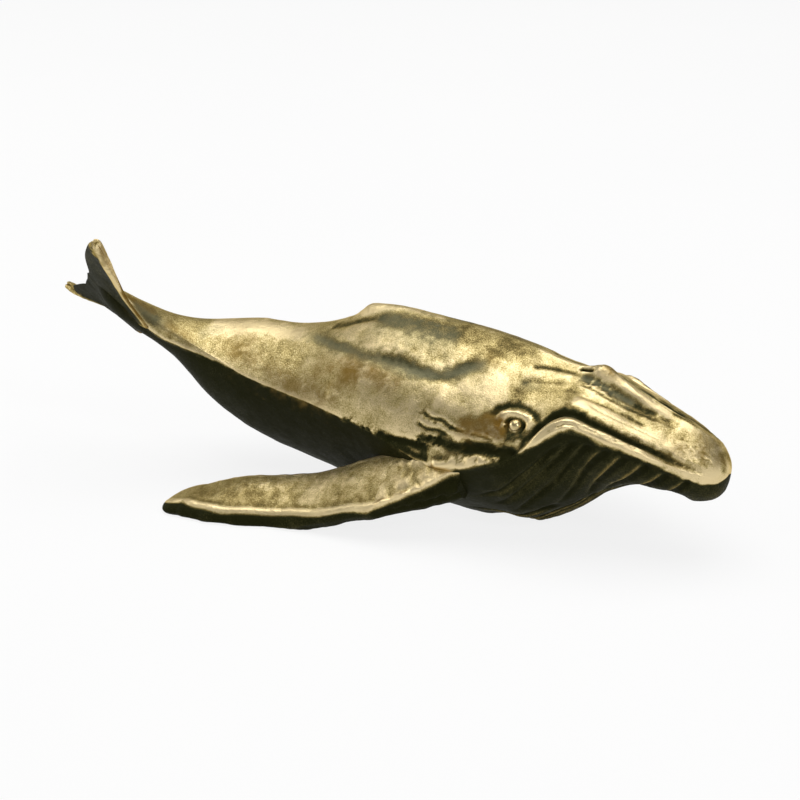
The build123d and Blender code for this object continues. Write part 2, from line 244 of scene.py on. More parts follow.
# How far from its path each kind of stroke reaches, in widths, and how ragged strokes are
GROOVE_REACH, CRUMB_REACH, FOLD_REACH, TINT_REACH = 3.2, 2.4, 3.0, 2.6
RAGGED_DEPTH, RAGGED_WIDTH, RAGGED_TINT = 0.22, 0.18, 0.35
SNAP_REACH = 6 * MM
DARKEST_PIT = 0.75


def climb(value, start, length):
    """Share that goes from 0 at start to 1 a length further, or further back if it is negative."""
    return np.clip((value - start) / length, 0, 1)


def bell(value, place, width):
    """1 at a place, fading to almost nothing two widths from it."""
    return np.exp(-((value - place) / width) ** 2)


def read_table(table, at):
    """Value at some place of a table of places and values."""
    return np.interp(at, *zip(*table))


def outward_normals(points):
    """Directions out of the skin on a grid of rings: rows along the piece, columns round it."""
    around = (np.roll(points, -1, 1) - np.roll(points, 1, 1)) / 2
    normals = unit(np.cross(np.gradient(points, axis=0), around))
    spokes = points - points.mean(1, keepdims=True)
    return normals * np.sign(np.einsum("ijk,ijk->ij", normals, spokes).mean())


def skin_path(points, side, above):
    """A stroke's path on the bare skin, a smooth line through station and arc rows."""
    at, arc = natural_spline(points, np.linspace(0, len(points) - 1, PATH_SAMPLES)).T
    return body_skin(at, arc, side, above)


def fade(share, ends):
    """How strong a stroke is along its length, eased over a share of it at each end."""
    start, end = (max(ease, SHORTEST_EASE) for ease in ends)
    s = np.minimum(climb(share, 0, start), climb(share, 1, -end))
    return s * s * (3 - 2 * s)


def near_path(points, path, reach):
    """For each point near a path: its index, distance, share along, and the nearest step."""
    low = path.min(0) - reach
    high = path.max(0) + reach
    near = np.nonzero(np.all((points > low) & (points < high), axis=-1))[0]
    gap = np.linalg.norm(points[near][:, None, :] - path[None], axis=-1)
    step = gap.argmin(1)
    tangent = unit(np.gradient(path, axis=0))[step]
    spacing = np.linalg.norm(np.diff(path, axis=0), axis=1).mean()
    offset = points[near] - path[step]
    most = 0.6 * spacing
    slide = np.clip(np.einsum("ij,ij->i", offset, tangent), -most, most)
    distance = np.linalg.norm(offset - tangent * slide[:, None], axis=1)
    share = np.clip((step + slide / spacing) / (len(path) - 1), 0, 1)
    keep = distance < reach
    return near[keep], distance[keep], share[keep], step[keep]


def grain_noise(points, size, seed, octaves=2):
    """Smooth, repeatable noise of about -1 to 1, with features of about that size."""
    places = (points.reshape(-1, 3) / size + NOISE_SHIFT * seed).tolist()
    values = [perlin.fractal(place, 0.9, 2.0, octaves) for place in places]
    return np.array(values).reshape(points.shape[:-1]) * NOISE_SPREAD


class Carver:
    """Collects how far each point of a grid moves outward and how it is stained."""

    def __init__(self, points, normals):
        self.points = points.reshape(-1, 3)
        self.normals = normals.reshape(-1, 3)
        self.rise = np.zeros(len(self.points))
        self.stain = {name: np.zeros(len(self.points)) for name in STAINS}
        self.ragged = grain_noise(self.points, 0.8 * MM, 1, 3)
        self.crumbs = grain_noise(self.points, 0.42 * MM, 7, 3)

    def side_of(self, near, path, step):
        """+1 for points on a path's left seen from outside, -1 on its right."""
        tangent = unit(np.gradient(path, axis=0))[step]
        offset = self.points[near] - path[step]
        return np.sign(np.einsum("ij,ij->i", np.cross(self.normals[near], tangent), offset))

    def add_stain(self, name, near, amount):
        """Adds to a stain at some points, and holds it from -1 to 1."""
        self.stain[name][near] = np.clip(self.stain[name][near] + amount, -1, 1)

    def snap(self, path):
        """The path moved onto the nearest points of the skin."""
        near = np.nonzero(np.linalg.norm(self.points - path.mean(0), axis=-1) < SNAP_REACH)[0]
        gap = np.linalg.norm(path[:, None] - self.points[near][None], axis=-1)
        return self.points[near][gap.argmin(1)]

    def groove(self, path, width, depth, ends=(0.12, 0.12), lip=0.0, rough=1.0):
        """Carves a groove, or a bead if depth is negative, with a raised lip on its left."""
        near, distance, share, step = near_path(self.points, path, GROOVE_REACH * width)
        strength = fade(share, ends) * (1 + RAGGED_DEPTH * rough * self.ragged[near])
        distance = distance * (1 + RAGGED_WIDTH * rough * self.ragged[near])
        self.rise[near] -= depth * strength * bell(distance, 0, width)
        if lip:
            offset = self.side_of(near, path, step) * distance
            self.rise[near] += lip * strength * bell(offset, 1.3 * width, 1.1 * width)

    def roughen(self, path, width, depth):
        """Breaks the skin along a path into crumbs and pits, darker the deeper they are."""
        near, distance, share, _ = near_path(self.points, path, CRUMB_REACH * width)
        strength = fade(share, (0.2, 0.2)) * bell(distance, 0, width)
        self.rise[near] += depth * strength * self.crumbs[near]
        pits = np.clip(-1.6 * self.crumbs[near] - 0.2, 0, 1) * strength
        self.add_stain("patina_and_painted_shade", near, min(DARKEST_PIT, 5.0 * depth / MM) * pits)

    def fold(self, path, width, height, sharp):
        """Raises a fold that swells gently on the path's left and drops sharply on its right."""
        near, distance, share, step = near_path(self.points, path, FOLD_REACH * width)
        reach = np.where(self.side_of(near, path, step) > 0, width, width * sharp)
        self.rise[near] += height * fade(share, (0.15, 0.15)) * bell(distance, 0, reach)

    def tint(self, name, path, width, strength, ends=None):
        """Stains the skin along a path."""
        if ends is None:
            length = np.linalg.norm(np.diff(path, axis=0), axis=1).sum()
            ends = (min(0.5, max(0.08, 1.1 * width / length)),) * 2
        near, distance, share, _ = near_path(self.points, path, TINT_REACH * width)
        distance = distance * (1 + RAGGED_TINT * self.ragged[near])
        self.add_stain(name, near, strength * fade(share, ends) * bell(distance, 0, width))


# Strokes on each flank. A row holds the path in station and arc points, or its name, and then
# sizes in millimetres and shares. These paths are in more than one table.
CREASE_ABOVE_FLIPPER = ((8.35, 0.315), (8.6, 0.285), (8.85, 0.29), (9.1, 0.262), (9.45, 0.25))
CREASE_BEHIND_FLIPPER = ((8.3, 0.235), (8.55, 0.215), (8.8, 0.228), (9.05, 0.205))
UPPER_SNOUT_CREASE = ((11.9, 0.74), (12.6, 0.68), (13.3, 0.64), (14.0, 0.66), (14.8, 0.7))
LOWER_SNOUT_CREASE = ((12.0, 0.58), (12.9, 0.52), (13.7, 0.53), (14.5, 0.51))
ROOT_RIDGE = ((8.6, 0.02), (9.2, 0.03), (9.7, 0.03), (10.2, 0.04), (10.9, 0.04))
# Grooves, with width, depth and lip: mouth, mouth corner, jaw hollow, crease above flipper,
# crease behind flipper, short crease, wedge over flipper, cheek crease, jaw line, nape crease,
# valley crease, fin foot, blowhole side, crest side, three snout creases, lip crease.
FLANK_GROOVES = (
    (((11.5, 0.1), (11.65, 0.22), (11.95, 0.29), (12.5, 0.25), (13.1, 0.215), (13.8, 0.19),
      (14.8, 0.155), (15.8, 0.115), (16.9, 0.08)), 0.42, 0.42, 0.06),
    (((11.6, 0.22), (11.5, 0.14), (11.3, 0.07), (11.0, 0.05)), 0.5, 0.34, 0.0),
    (((8.9, 0.15), (9.4, 0.15), (9.9, 0.13), (10.7, 0.11), (11.2, 0.05)), 0.8, 0.4, 0.04),
    (CREASE_ABOVE_FLIPPER, 0.22, 0.15, 0.09),
    (CREASE_BEHIND_FLIPPER, 0.24, 0.15, 0.08),
    (((8.4, 0.15), (8.65, 0.16), (8.95, 0.18)), 0.3, 0.16, 0.0),
    (((7.7, 0.02), (8.0, 0.06), (8.3, 0.09), (8.6, 0.11)), 0.4, 0.26, 0.0),
    (((9.5, 0.24), (9.9, 0.225), (10.4, 0.2)), 0.18, 0.12, 0.0),
    (((11.7, 0.69), (12.1, 0.62), (13.0, 0.56), (13.8, 0.52), (14.6, 0.47)), 0.55, 0.08, 0.0),
    (((10.6, 0.64), (10.95, 0.7), (11.3, 0.71), (11.7, 0.76)), 0.34, 0.06, 0.0),
    (((5.1, 0.77), (6.1, 0.57), (7.0, 0.52), (7.6, 0.55), (8.1, 0.53), (8.6, 0.55), (8.8, 0.62),
      (9.2, 0.73)), 0.85, 0.13, 0.05),
    (((5.5, 0.86), (5.9, 0.84), (6.4, 0.86), (6.9, 0.88)), 0.6, 0.14, 0.0),
    (((10.7, 0.8), (11.2, 0.86), (11.8, 0.87), (12.3, 0.84)), 0.36, 0.1, 0.0),
    (((11.8, 0.86), (12.4, 0.82), (13.1, 0.77), (13.8, 0.76), (14.5, 0.78), (15.4, 0.84)),
      0.85, 0.26, 0.0),
    (UPPER_SNOUT_CREASE, 0.2, 0.07, 0.0),
    (LOWER_SNOUT_CREASE, 0.22, 0.06, 0.0),
    (((12.7, 0.44), (13.4, 0.4), (14.2, 0.4), (15.0, 0.37)), 0.18, 0.05, 0.0),
    (((11.9, 0.06), (12.6, 0.06), (13.6, 0.06), (14.8, 0.05), (16.0, 0.04)), 0.2, 0.1, 0.0),
)
# Folds, with width, height and the sharp side's share: lip, upper jaw, valley roll, shoulder,
# nape roll, root ridge, three root knots.
FLANK_FOLDS = (
    (((11.35, 0.0), (11.6, 0.05), (11.9, 0.12), (12.4, 0.11), (13.0, 0.08), (13.8, 0.07),
      (14.6, 0.04), (15.4, 0.01)), 0.52, 0.3, 0.9),
    (((11.9, 0.5), (12.5, 0.44), (13.2, 0.38), (14.0, 0.37), (15.0, 0.34), (16.0, 0.28)),
      0.8, 0.16, 0.9),
    (((5.0, 0.82), (5.8, 0.64), (6.8, 0.56), (7.6, 0.56), (8.3, 0.58), (8.9, 0.64), (9.4, 0.76)),
      2.2, -0.2, 1.0),
    (((8.5, 0.4), (9.1, 0.38), (9.8, 0.36)), 1.3, 0.14, 1.0),
    (((10.4, 0.7), (10.9, 0.76), (11.4, 0.79), (11.8, 0.82)), 0.8, 0.1, 0.8),
    (ROOT_RIDGE, 0.46, 0.3, 0.9),
    (((8.75, 0.02), (9.0, 0.04), (9.3, 0.08)), 0.45, 0.3, 0.9),
    (((9.5, 0.06), (9.75, 0.085), (10.0, 0.08)), 0.36, 0.26, 0.9),
    (((10.3, 0.05), (10.55, 0.07), (10.8, 0.06)), 0.34, 0.22, 0.9),
)
# Crumbly places, with width and depth
FLANK_CRUMBS = (
    (((8.3, 0.1), (8.6, 0.14), (9.0, 0.19)), 0.7, 0.12),
    (((8.7, 0.03), (9.3, 0.07), (9.9, 0.08), (10.6, 0.07), (11.2, 0.04)), 0.55, 0.06),
    (((15.2, 0.5), (16.1, 0.45), (17.2, 0.4)), 1.0, 0.04),
    (((11.6, 0.04), (12.6, 0.08), (13.8, 0.06), (15.0, 0.03)), 0.4, 0.06),
    (((9.2, 0.15), (10.0, 0.13), (10.8, 0.11)), 0.55, 0.08),
    (((6.6, 0.01), (7.4, 0.02), (8.2, 0.05)), 0.4, 0.07),
    (((11.9, 0.8), (12.6, 0.76), (13.4, 0.72)), 0.7, 0.08),
    (((8.2, 0.3), (8.7, 0.27), (9.3, 0.25)), 0.6, 0.05),
)
# Tints by stain, with width and strength, in the order in which they are laid on. Several are
# painted shade, painted highlights and painted reflections, as noted at each stain
FLANK_TINTS = {
    # Dark patina in creases, grooves and the mouth, and painted shade: along the back's top, in the
    # valley behind the fin, under the jaw, over the shoulder and the snout, and at the belly's edge
    "patina_and_painted_shade": (
        (((11.5, 0.12), (11.65, 0.24), (11.95, 0.32), (12.5, 0.28), (13.1, 0.24), (13.8, 0.21),
          (14.8, 0.165), (15.8, 0.12)), 0.46, 0.72),
        (((11.65, 0.27), (11.95, 0.36), (12.4, 0.33), (12.9, 0.28)), 0.55, 0.45),
        (((11.6, 0.26), (11.5, 0.15), (11.25, 0.07)), 0.6, 0.85),
        (((8.8, 0.165), (9.2, 0.155), (9.6, 0.145), (10.0, 0.135)), 0.5, 0.55),
        (((9.3, 0.145), (9.9, 0.135), (10.7, 0.115), (11.3, 0.07)), 0.9, 0.8),
        (CREASE_ABOVE_FLIPPER, 0.32, 0.17),
        (CREASE_BEHIND_FLIPPER, 0.32, 0.13),
        (((8.35, 0.12), (8.6, 0.15), (8.8, 0.17), (9.05, 0.19)), 0.62, 0.62),
        (((7.5, 0.01), (7.9, 0.05), (8.3, 0.08), (8.7, 0.1)), 0.5, 0.9),
        (((7.5, 0.0), (7.9, 0.01), (8.2, 0.025), (8.45, 0.03), (8.7, 0.04)), 0.46, 1.0),
        (((6.6, 0.0), (7.2, 0.0), (7.7, 0.0)), 0.22, 0.7),
        (((9.2, 0.29), (9.6, 0.34), (10.0, 0.38), (10.3, 0.37)), 0.6, 0.34),
        (((7.0, 0.49), (7.7, 0.5), (8.3, 0.52), (8.8, 0.59), (9.2, 0.7), (9.6, 0.85)),
          0.95, 0.26),
        (((9.1, 0.0), (9.8, 0.0), (10.4, 0.01), (11.0, 0.005), (11.3, 0.0)), 0.42, 1.0),
        (((5.1, 0.78), (6.1, 0.58), (7.0, 0.53), (7.6, 0.55), (8.1, 0.53), (8.6, 0.55),
          (8.8, 0.62), (9.2, 0.73)), 0.75, 0.3),
        (((6.6, 0.86), (7.3, 0.84), (8.0, 0.84), (8.6, 0.86)), 1.2, 0.28),
        (((5.6, 0.9), (6.0, 0.85), (6.5, 0.86)), 0.45, 0.35),
        (((6.5, 0.9), (7.5, 0.92), (8.6, 0.93), (9.8, 0.92), (10.8, 0.92)), 2.6, 0.2),
        (((11.0, 0.62), (11.6, 0.62), (12.3, 0.58)), 1.3, 0.18),
        (((11.8, 0.86), (12.4, 0.82), (13.1, 0.77), (13.9, 0.76), (14.6, 0.78)), 0.55, 0.34),
        (((10.7, 0.8), (11.2, 0.86), (11.8, 0.87)), 0.3, 0.18),
        (UPPER_SNOUT_CREASE, 0.28, 0.16),
        (LOWER_SNOUT_CREASE, 0.28, 0.15),
        (((9.9, 0.62), (10.6, 0.64), (11.4, 0.62)), 1.8, 0.13),
        (((15.2, 0.6), (16.2, 0.5), (17.2, 0.45)), 1.8, 0.1),
        (((15.6, 0.62), (16.1, 0.52), (16.5, 0.4)), 0.8, 0.12),
        (((15.8, 0.18), (16.3, 0.27), (16.9, 0.3)), 0.5, 0.22),
        (((16.3, 0.85), (17.0, 0.75), (17.6, 0.6)), 1.1, 0.06),
        (((16.9, 0.95), (17.4, 0.8), (17.8, 0.5), (17.85, 0.15)), 0.6, 0.36),
        (((10.1, 0.6), (10.6, 0.55), (11.2, 0.58)), 1.7, 0.2),
        (((9.4, 0.19), (9.9, 0.178), (10.5, 0.162)), 0.34, 0.55),
        (((0.0, 0.04), (0.7, 0.03), (1.4, 0.05)), 0.95, 0.5),
    ),
    "umber": (
        (((6.2, 0.54), (6.5, 0.4), (6.7, 0.24)), 1.15, 1.0),
        (((6.9, 0.42), (7.4, 0.4), (7.8, 0.36)), 1.1, 0.75),
        (((3.0, 0.45), (3.3, 0.32), (3.8, 0.2)), 1.2, 0.5),
        (((4.6, 0.12), (5.4, 0.1), (6.2, 0.09)), 1.0, 0.45),
        (((9.1, 0.26), (9.6, 0.28), (10.2, 0.29), (10.9, 0.24)), 0.95, 1.3),
        (((9.7, 0.31), (10.2, 0.32), (10.6, 0.3)), 0.9, 0.8),
        (((0.0, 0.3), (0.6, 0.28), (1.2, 0.2)), 0.9, 0.6),
        (((6.4, 0.42), (6.9, 0.4), (7.3, 0.42)), 1.1, 0.45),
        (((5.4, 0.3), (5.8, 0.36), (6.2, 0.3)), 1.3, 0.4),
    ),
    "gold": (
        (((6.0, 0.3), (6.6, 0.3), (7.3, 0.38), (7.9, 0.34)), 1.5, 0.8),
        (((14.8, 0.45), (15.8, 0.38), (16.8, 0.34)), 1.4, 0.55),
        (((15.6, 0.78), (16.4, 0.66), (17.3, 0.5)), 1.5, 0.8),
        (((16.9, 0.85), (17.4, 0.65), (17.8, 0.4)), 1.0, 0.7),
        (((1.2, 0.12), (1.8, 0.1), (2.4, 0.08)), 0.9, 0.8),
        (((3.3, 0.2), (3.9, 0.22), (4.6, 0.18), (5.6, 0.13), (6.6, 0.12)), 1.3, 0.75),
        (((3.5, 0.55), (3.7, 0.4), (4.0, 0.28)), 1.3, 0.6),
        (((8.9, 0.72), (9.3, 0.74), (9.7, 0.76)), 1.1, 0.6),
        (((9.2, 0.26), (9.8, 0.3), (10.3, 0.32)), 0.8, 0.7),
        (((11.9, 0.93), (12.4, 0.97), (12.9, 0.95), (13.4, 0.88)), 0.55, 0.8),
    ),
    # Painted grey-green reflection with some dull haze: in the valley behind the fin, along the
    # back, beside the crest and on the stock
    "haze_and_painted_reflection": (
        (((11.8, 0.84), (12.4, 0.8), (13.1, 0.75), (13.9, 0.76)), 0.55, 0.8),
        (((0.3, 0.04), (0.9, 0.02), (1.6, 0.03)), 0.9, 0.7),
        (((5.0, 0.8), (5.8, 0.6), (6.8, 0.51), (7.7, 0.5), (8.3, 0.53), (8.9, 0.61), (9.4, 0.74)),
          0.85, 0.95),
        (((6.4, 0.84), (7.2, 0.8), (8.0, 0.78), (8.6, 0.84)), 2.1, 0.75),
        (((2.2, 0.3), (2.6, 0.45), (2.8, 0.7)), 0.8, 0.6),
        (((10.5, 0.62), (10.9, 0.66), (11.3, 0.66)), 0.7, 0.55),
    ),
    # Wear on high places, and painted highlights: on the stock's top, the lip, the upper jaw, the
    # shoulder, the snout's tip and the crest
    "wear_and_painted_highlight": (
        (ROOT_RIDGE, 0.36, 0.5),
        (((9.3, 0.075), (9.7, 0.09), (10.2, 0.075)), 0.32, 0.8),
        (((2.4, 0.72), (3.0, 0.66), (3.6, 0.7), (4.4, 0.72), (5.2, 0.8)), 1.5, 0.85),
        (((11.3, 0.0), (11.6, 0.05), (11.9, 0.11), (12.4, 0.1), (13.0, 0.07), (13.8, 0.06),
          (14.6, 0.03), (15.4, 0.0)), 0.46, 0.85),
        (((12.0, 0.52), (12.7, 0.48), (13.5, 0.44), (14.4, 0.42), (15.4, 0.4), (16.6, 0.45)),
          0.9, 0.5),
        (((10.45, 0.41), (10.7, 0.45), (11.05, 0.44), (11.35, 0.36)), 0.28, 0.9),
        (((8.2, 0.62), (8.8, 0.52), (9.6, 0.55), (10.2, 0.62)), 1.6, 0.28),
        (((17.1, 0.22), (17.4, 0.26), (17.6, 0.3)), 0.5, 0.95),
        (((12.4, 0.96), (13.2, 0.93), (14.0, 0.92), (15.0, 0.93)), 0.55, 0.7),
    ),
}
# Broad hollows under the chest and the jaw: path, width and depth
THROAT_HOLLOWS = (
    (((9.2, 0.8), (10.2, 0.8), (11.1, 0.84)), 2.0, 0.5),
    (((13.0, 0.82), (14.2, 0.77), (15.2, 0.75), (16.0, 0.8)), 1.8, 0.6),
)
# Throat pleats under each lip: station and arc at the lip and at the far end
PLEATS = (
    (16.2, 0.10, 14.2, 0.86), (15.5, 0.08, 13.5, 0.80), (14.9, 0.05, 13.0, 0.76),
    (14.3, 0.05, 12.4, 0.70), (13.8, 0.06, 11.6, 0.60), (13.3, 0.07, 10.6, 0.50),
    (12.8, 0.08, 9.8, 0.41), (12.2, 0.10, 9.4, 0.30), (14.5, 0.84, 9.0, 0.93),
    (13.6, 0.78, 8.6, 0.80), (12.9, 0.74, 8.8, 0.68), (11.8, 0.60, 8.8, 0.55),
)
PLEAT_WIDTH = 0.34 * MM
PLEAT_DEPTH = 0.40 * MM
# How far down towards its far end a pleat is at half its length, and the place of the painted
# highlight on the ridge beside it
PLEAT_BOW = 0.62
PLEAT_HIGHLIGHT_SHIFT = np.array(((-0.22, 0.02), (-0.22, 0.03), (-0.22, 0.02)))

# Forms along the middle of the back: stations, width, height, ease at each end, and the strength of
# their painted highlight and wear
MIDDLE_FORMS = (
    ((5.9, 6.5, 7.3, 8.4), 1.35, 1.10, (0.30, 0.85), 0.35),
    ((7.6, 9.0, 10.6, 11.6), 1.60, 0.15, (0.30, 0.30), 0.0),
    ((11.55, 12.1, 12.7, 13.4), 1.50, 0.92, (0.50, 0.46), 0.30),
)
# Crest from the blowhole guard down the snout, a little off the middle, and the arc step to its
# painted shade
CREST = ((12.6, 1.0), (13.2, 0.95), (13.8, 0.89), (14.4, 0.87), (15.0, 0.87), (16.0, 0.92))
CREST_SHADE_STEP = 0.10
# The crown's hollow beside the crest, and a blowhole's slit
CROWN = ((11.4, 0.1), (12.2, 0.25), (13.0, 0.25), (14.0, 0.22), (15.0, 0.2))
BLOWHOLE = ((11.75, 0.955), (11.95, 0.95), (12.15, 0.955))
# Wrinkles on the far side of the snout: first and last station, and arc share
FAR_WRINKLES = ((13.2, 15.6, 0.84), (13.4, 16.3, 0.72), (13.6, 16.6, 0.60), (13.9, 16.6, 0.47))

# Socket round an eye bead, and the dark ring in it: radius and width
SOCKET = (0.92 * MM, 0.26 * MM)
SOCKET_DEPTH = 0.46 * MM
SOCKET_SHADE = (0.94 * MM, 0.24 * MM)
# Crescents beside an eye: first and last turn (half turns from the tail's side up), width and
# height of the ring, the stroke's width and rise, and its stain and strength. The bright one is a
# painted highlight on the upper lid, the dark ones painted shade above and below it
EYE_RINGS = (
    (-0.02, 0.80, 1.90, 1.55, 0.36, 0.38, "wear_and_painted_highlight", 0.95),
    (0.02, 0.92, 2.75, 2.35, 0.42, -0.16, "patina_and_painted_shade", 0.60),
    (1.02, 1.90, 1.50, 1.42, 0.34, -0.06, "patina_and_painted_shade", 0.50),
)

# Where the belly's painted shade starts under the tail stock and under the lip: station and arc
# share below the parting line
TAIL_LINE = (
    (0.0, 0.0), (0.5, 0.12), (0.8, 0.28), (1.2, 0.42), (1.6, 0.44), (2.0, 0.28), (2.5, 0.12),
    (3.0, 0.04), (3.8, 0.0),
)
LIP_LINE = (
    (10.9, 0.0), (12.0, 0.03), (13.6, 0.04), (14.6, 0.05), (15.4, 0.09), (16.2, 0.15), (17.4, 0.20),
)
# How wide the change into the belly's painted shade is, and how ragged, in arc shares
DARK_EDGE = 0.05
DARK_EDGE_WAVE = 0.02

# The body's grid: rows along the spine, columns round it, and the rows that close its ends
SPINE_KNOTS = 400
ROW_GAP = 0.21 * MM
QUARTER_COLUMNS = 84
TAIL_CAP_ROWS = 16
TAIL_TAPER = 3.8 * MM
TAIL_CORE = 0.35
SNOUT_STATION = 17.45
SNOUT_CAP_ROWS = 8
SNOUT_ROUND = 0.50 * MM
# Rows over which the relief fades out at the tail and at the snout
TAIL_EASE_ROWS = 12
SNOUT_EASE_ROWS = 14
# The stock is rounded off towards its end: first station, length, passes and columns
STOCK_ROUND_FROM = 4.0
STOCK_ROUND_LENGTH = 2.0
STOCK_ROUND = (20, 4)
# The joint with the flukes is blurred: rows each way, and passes
JOINT_ROWS = 8
JOINT_PASSES = 80
# Waves of the casting: height, size, and the noise's seed
CAST_WAVES = ((0.09, 5.5, 3), (0.018, 1.3, 5))
# Hollows that hold dirt: passes and weight of the fine and the broad ones, and the full depth
HOLLOW_SCALES = ((6, 1.2), (40, 0.35))
HOLLOW_DEPTH = 0.1 * MM


def rounded_end(ring, onward, reach, rows, blunt=1.0, late=1.0):
    """Rings that close an end: they shrink from a ring to a point a reach further on."""
    middle = ring.mean(0)
    turns = np.linspace(0, math.pi / 2, rows + 1)[1:]
    return np.array([middle + (ring - middle) * math.cos(turn) ** blunt
                     + onward * reach * math.sin(turn) ** late for turn in turns])


def tail_rows(ring):
    """Rings that taper the stock's end onto the flukes, from the last one back to the ring."""
    forward, _, up = turned_axes(np.array(FLUKE_TURN, float))
    middle = ring.mean(0)
    offset = ring - middle
    flat = (offset @ up)[:, None] * up
    rows = []
    for share in np.linspace(1, 0, TAIL_CAP_ROWS, endpoint=False):
        thin = (1 + math.cos(math.pi * share)) / 2
        wide = (TAIL_CORE + (1 - TAIL_CORE) * thin) * math.sqrt(1 - share ** 4)
        rows.append(middle + (offset - flat) * wide + flat * thin - forward * share * TAIL_TAPER)
    return np.array(rows)


def body_grid():
    """Grid of points round the whole body, rows tail to snout, with the rows' station numbers."""
    knots = np.linspace(0, SNOUT_STATION, SPINE_KNOTS)
    centres = natural_spline(STATION_SHARES, knots)[:, :3] * (LENGTH, BREADTH, DEPTH)
    run = np.concatenate([[0], np.cumsum(np.linalg.norm(np.diff(centres, axis=0), axis=1))])
    at = np.interp(np.linspace(0, run[-1], int(run[-1] / ROW_GAP)), run, knots)
    turn = np.arange(4 * QUARTER_COLUMNS) / QUARTER_COLUMNS
    above = np.where(turn < 2, BACK, BELLY)
    side = np.where((turn < 1) | (turn >= 3), RIGHT, LEFT)
    arc = np.choose(turn.astype(int), [turn, 2 - turn, turn - 2, 4 - turn])
    grid = body_skin(at[:, None], arc[None], side[None], above[None])
    snout = rounded_end(grid[-1], np.array((1.0, 0.0, 0.0)), SNOUT_ROUND, SNOUT_CAP_ROWS, late=2)
    at = np.pad(at, (TAIL_CAP_ROWS, SNOUT_CAP_ROWS), "edge")
    return np.concatenate([tail_rows(grid[0]), grid, snout]), at[:, None]


def carve_flank(carver, side):
    """All the strokes of one flank, jaw and throat. Lefts and rights swap on the other flank."""
    for points, width, depth, lip in FLANK_GROOVES:
        path = skin_path(points, side, BACK)[::-side]
        carver.groove(path, width * MM, depth * MM, lip=lip * MM)
    for points, width, height, sharp in FLANK_FOLDS:
        carver.fold(skin_path(points, side, BACK)[::-side], width * MM, height * MM, sharp)
    for points, width, depth in FLANK_CRUMBS:
        carver.roughen(skin_path(points, side, BACK), width * MM, depth * MM)
    for stain, strokes in FLANK_TINTS.items():
        for points, width, amount in strokes:
            carver.tint(stain, skin_path(points, side, BACK), width * MM, amount)
    for lip_at, lip_arc, far_at, far_arc in PLEATS:
        middle = ((lip_at + far_at) / 2, lip_arc + (far_arc - lip_arc) * PLEAT_BOW)
        pleat = np.array(((lip_at, lip_arc), middle, (far_at, far_arc)))
        carver.groove(skin_path(pleat, side, BELLY), PLEAT_WIDTH, PLEAT_DEPTH, ends=(0.10, 0.35))
        # Painted highlight along the pleat's ridge
        ridge = skin_path(pleat + PLEAT_HIGHLIGHT_SHIFT, side, BELLY)
        carver.tint("wear_and_painted_highlight", ridge, 0.8 * PLEAT_WIDTH, 0.80, ends=(0.10, 0.45))
    for points, width, depth in THROAT_HOLLOWS:
        path = skin_path(points, side, BELLY)
        carver.groove(path, width * MM, depth * MM, ends=(0.3, 0.3), rough=0)


def carve_tail_line(carver):
    """Ridge that runs from each fluke along the stock, with a painted highlight along it, over the
    belly's painted shade.
    """
    for side in (RIGHT, LEFT):
        path = skin_path(TAIL_LINE, side, BELLY)
        carver.groove(path, 0.34 * MM, -0.26 * MM, ends=(0.02, 0.6), rough=0.3)
        carver.tint("wear_and_painted_highlight", path, 0.34 * MM, 0.85, ends=(0.02, 0.5))


def carve_middle(carver):
    """Dorsal fin, blowholes with their guard, the snout's crest, and what lies beyond it."""
    for stations, width, height, ends, shine in MIDDLE_FORMS:
        path = skin_path([(at, 1) for at in stations], LEFT, BACK)
        carver.groove(path, width * MM, -height * MM, ends=ends, rough=0.15)
        # Painted highlight and wear along the form's top
        carver.tint("wear_and_painted_highlight", path, 0.8 * width * MM, shine)
    crest = skin_path(CREST, RIGHT, BACK)
    carver.groove(crest, 0.62 * MM, -0.34 * MM, ends=(0.35, 0.60), rough=0.3)
    # Painted highlight along the crest, and painted shade just beyond it
    carver.tint("wear_and_painted_highlight", crest, 0.50 * MM, 0.45)
    beyond = [(at, min(arc + CREST_SHADE_STEP, 1)) for at, arc in CREST]
    carver.tint("patina_and_painted_shade", skin_path(beyond, RIGHT, BACK), 0.24 * MM, 0.50)
    for side in (RIGHT, LEFT):
        slit = skin_path(BLOWHOLE, side, BACK)
        carver.groove(slit, 0.20 * MM, 0.50 * MM)
        carver.tint("patina_and_painted_shade", slit, 0.30 * MM, 0.9)
    for start, end, arc in FAR_WRINKLES:
        points = ((start, arc), ((start + end) / 2, arc - 0.03), (end, arc + 0.04))
        path = skin_path(points, LEFT, BACK)
        carver.groove(path, 0.22 * MM, 0.15 * MM)
        carver.tint("patina_and_painted_shade", path, 0.40 * MM, 0.55)
    crown = skin_path(CROWN, LEFT, BACK)
    carver.groove(crown, 2.4 * MM, 0.75 * MM, ends=(0.3, 0.6), rough=0)


def eye_frame(side):
    """An eye's place on the bare skin, and its directions outward, across and up."""
    place = body_skin(EYE_STATION, EYE_ARC, side, BACK)
    spine = natural_spline(STATION_SHARES, EYE_STATION)[:3] * (LENGTH, BREADTH, DEPTH)
    outward = unit(place - spine + (0, 0, REST_SINK))
    across = unit(np.cross(outward, (0, 0, 1.0)))
    return place, outward, across, np.cross(across, outward)


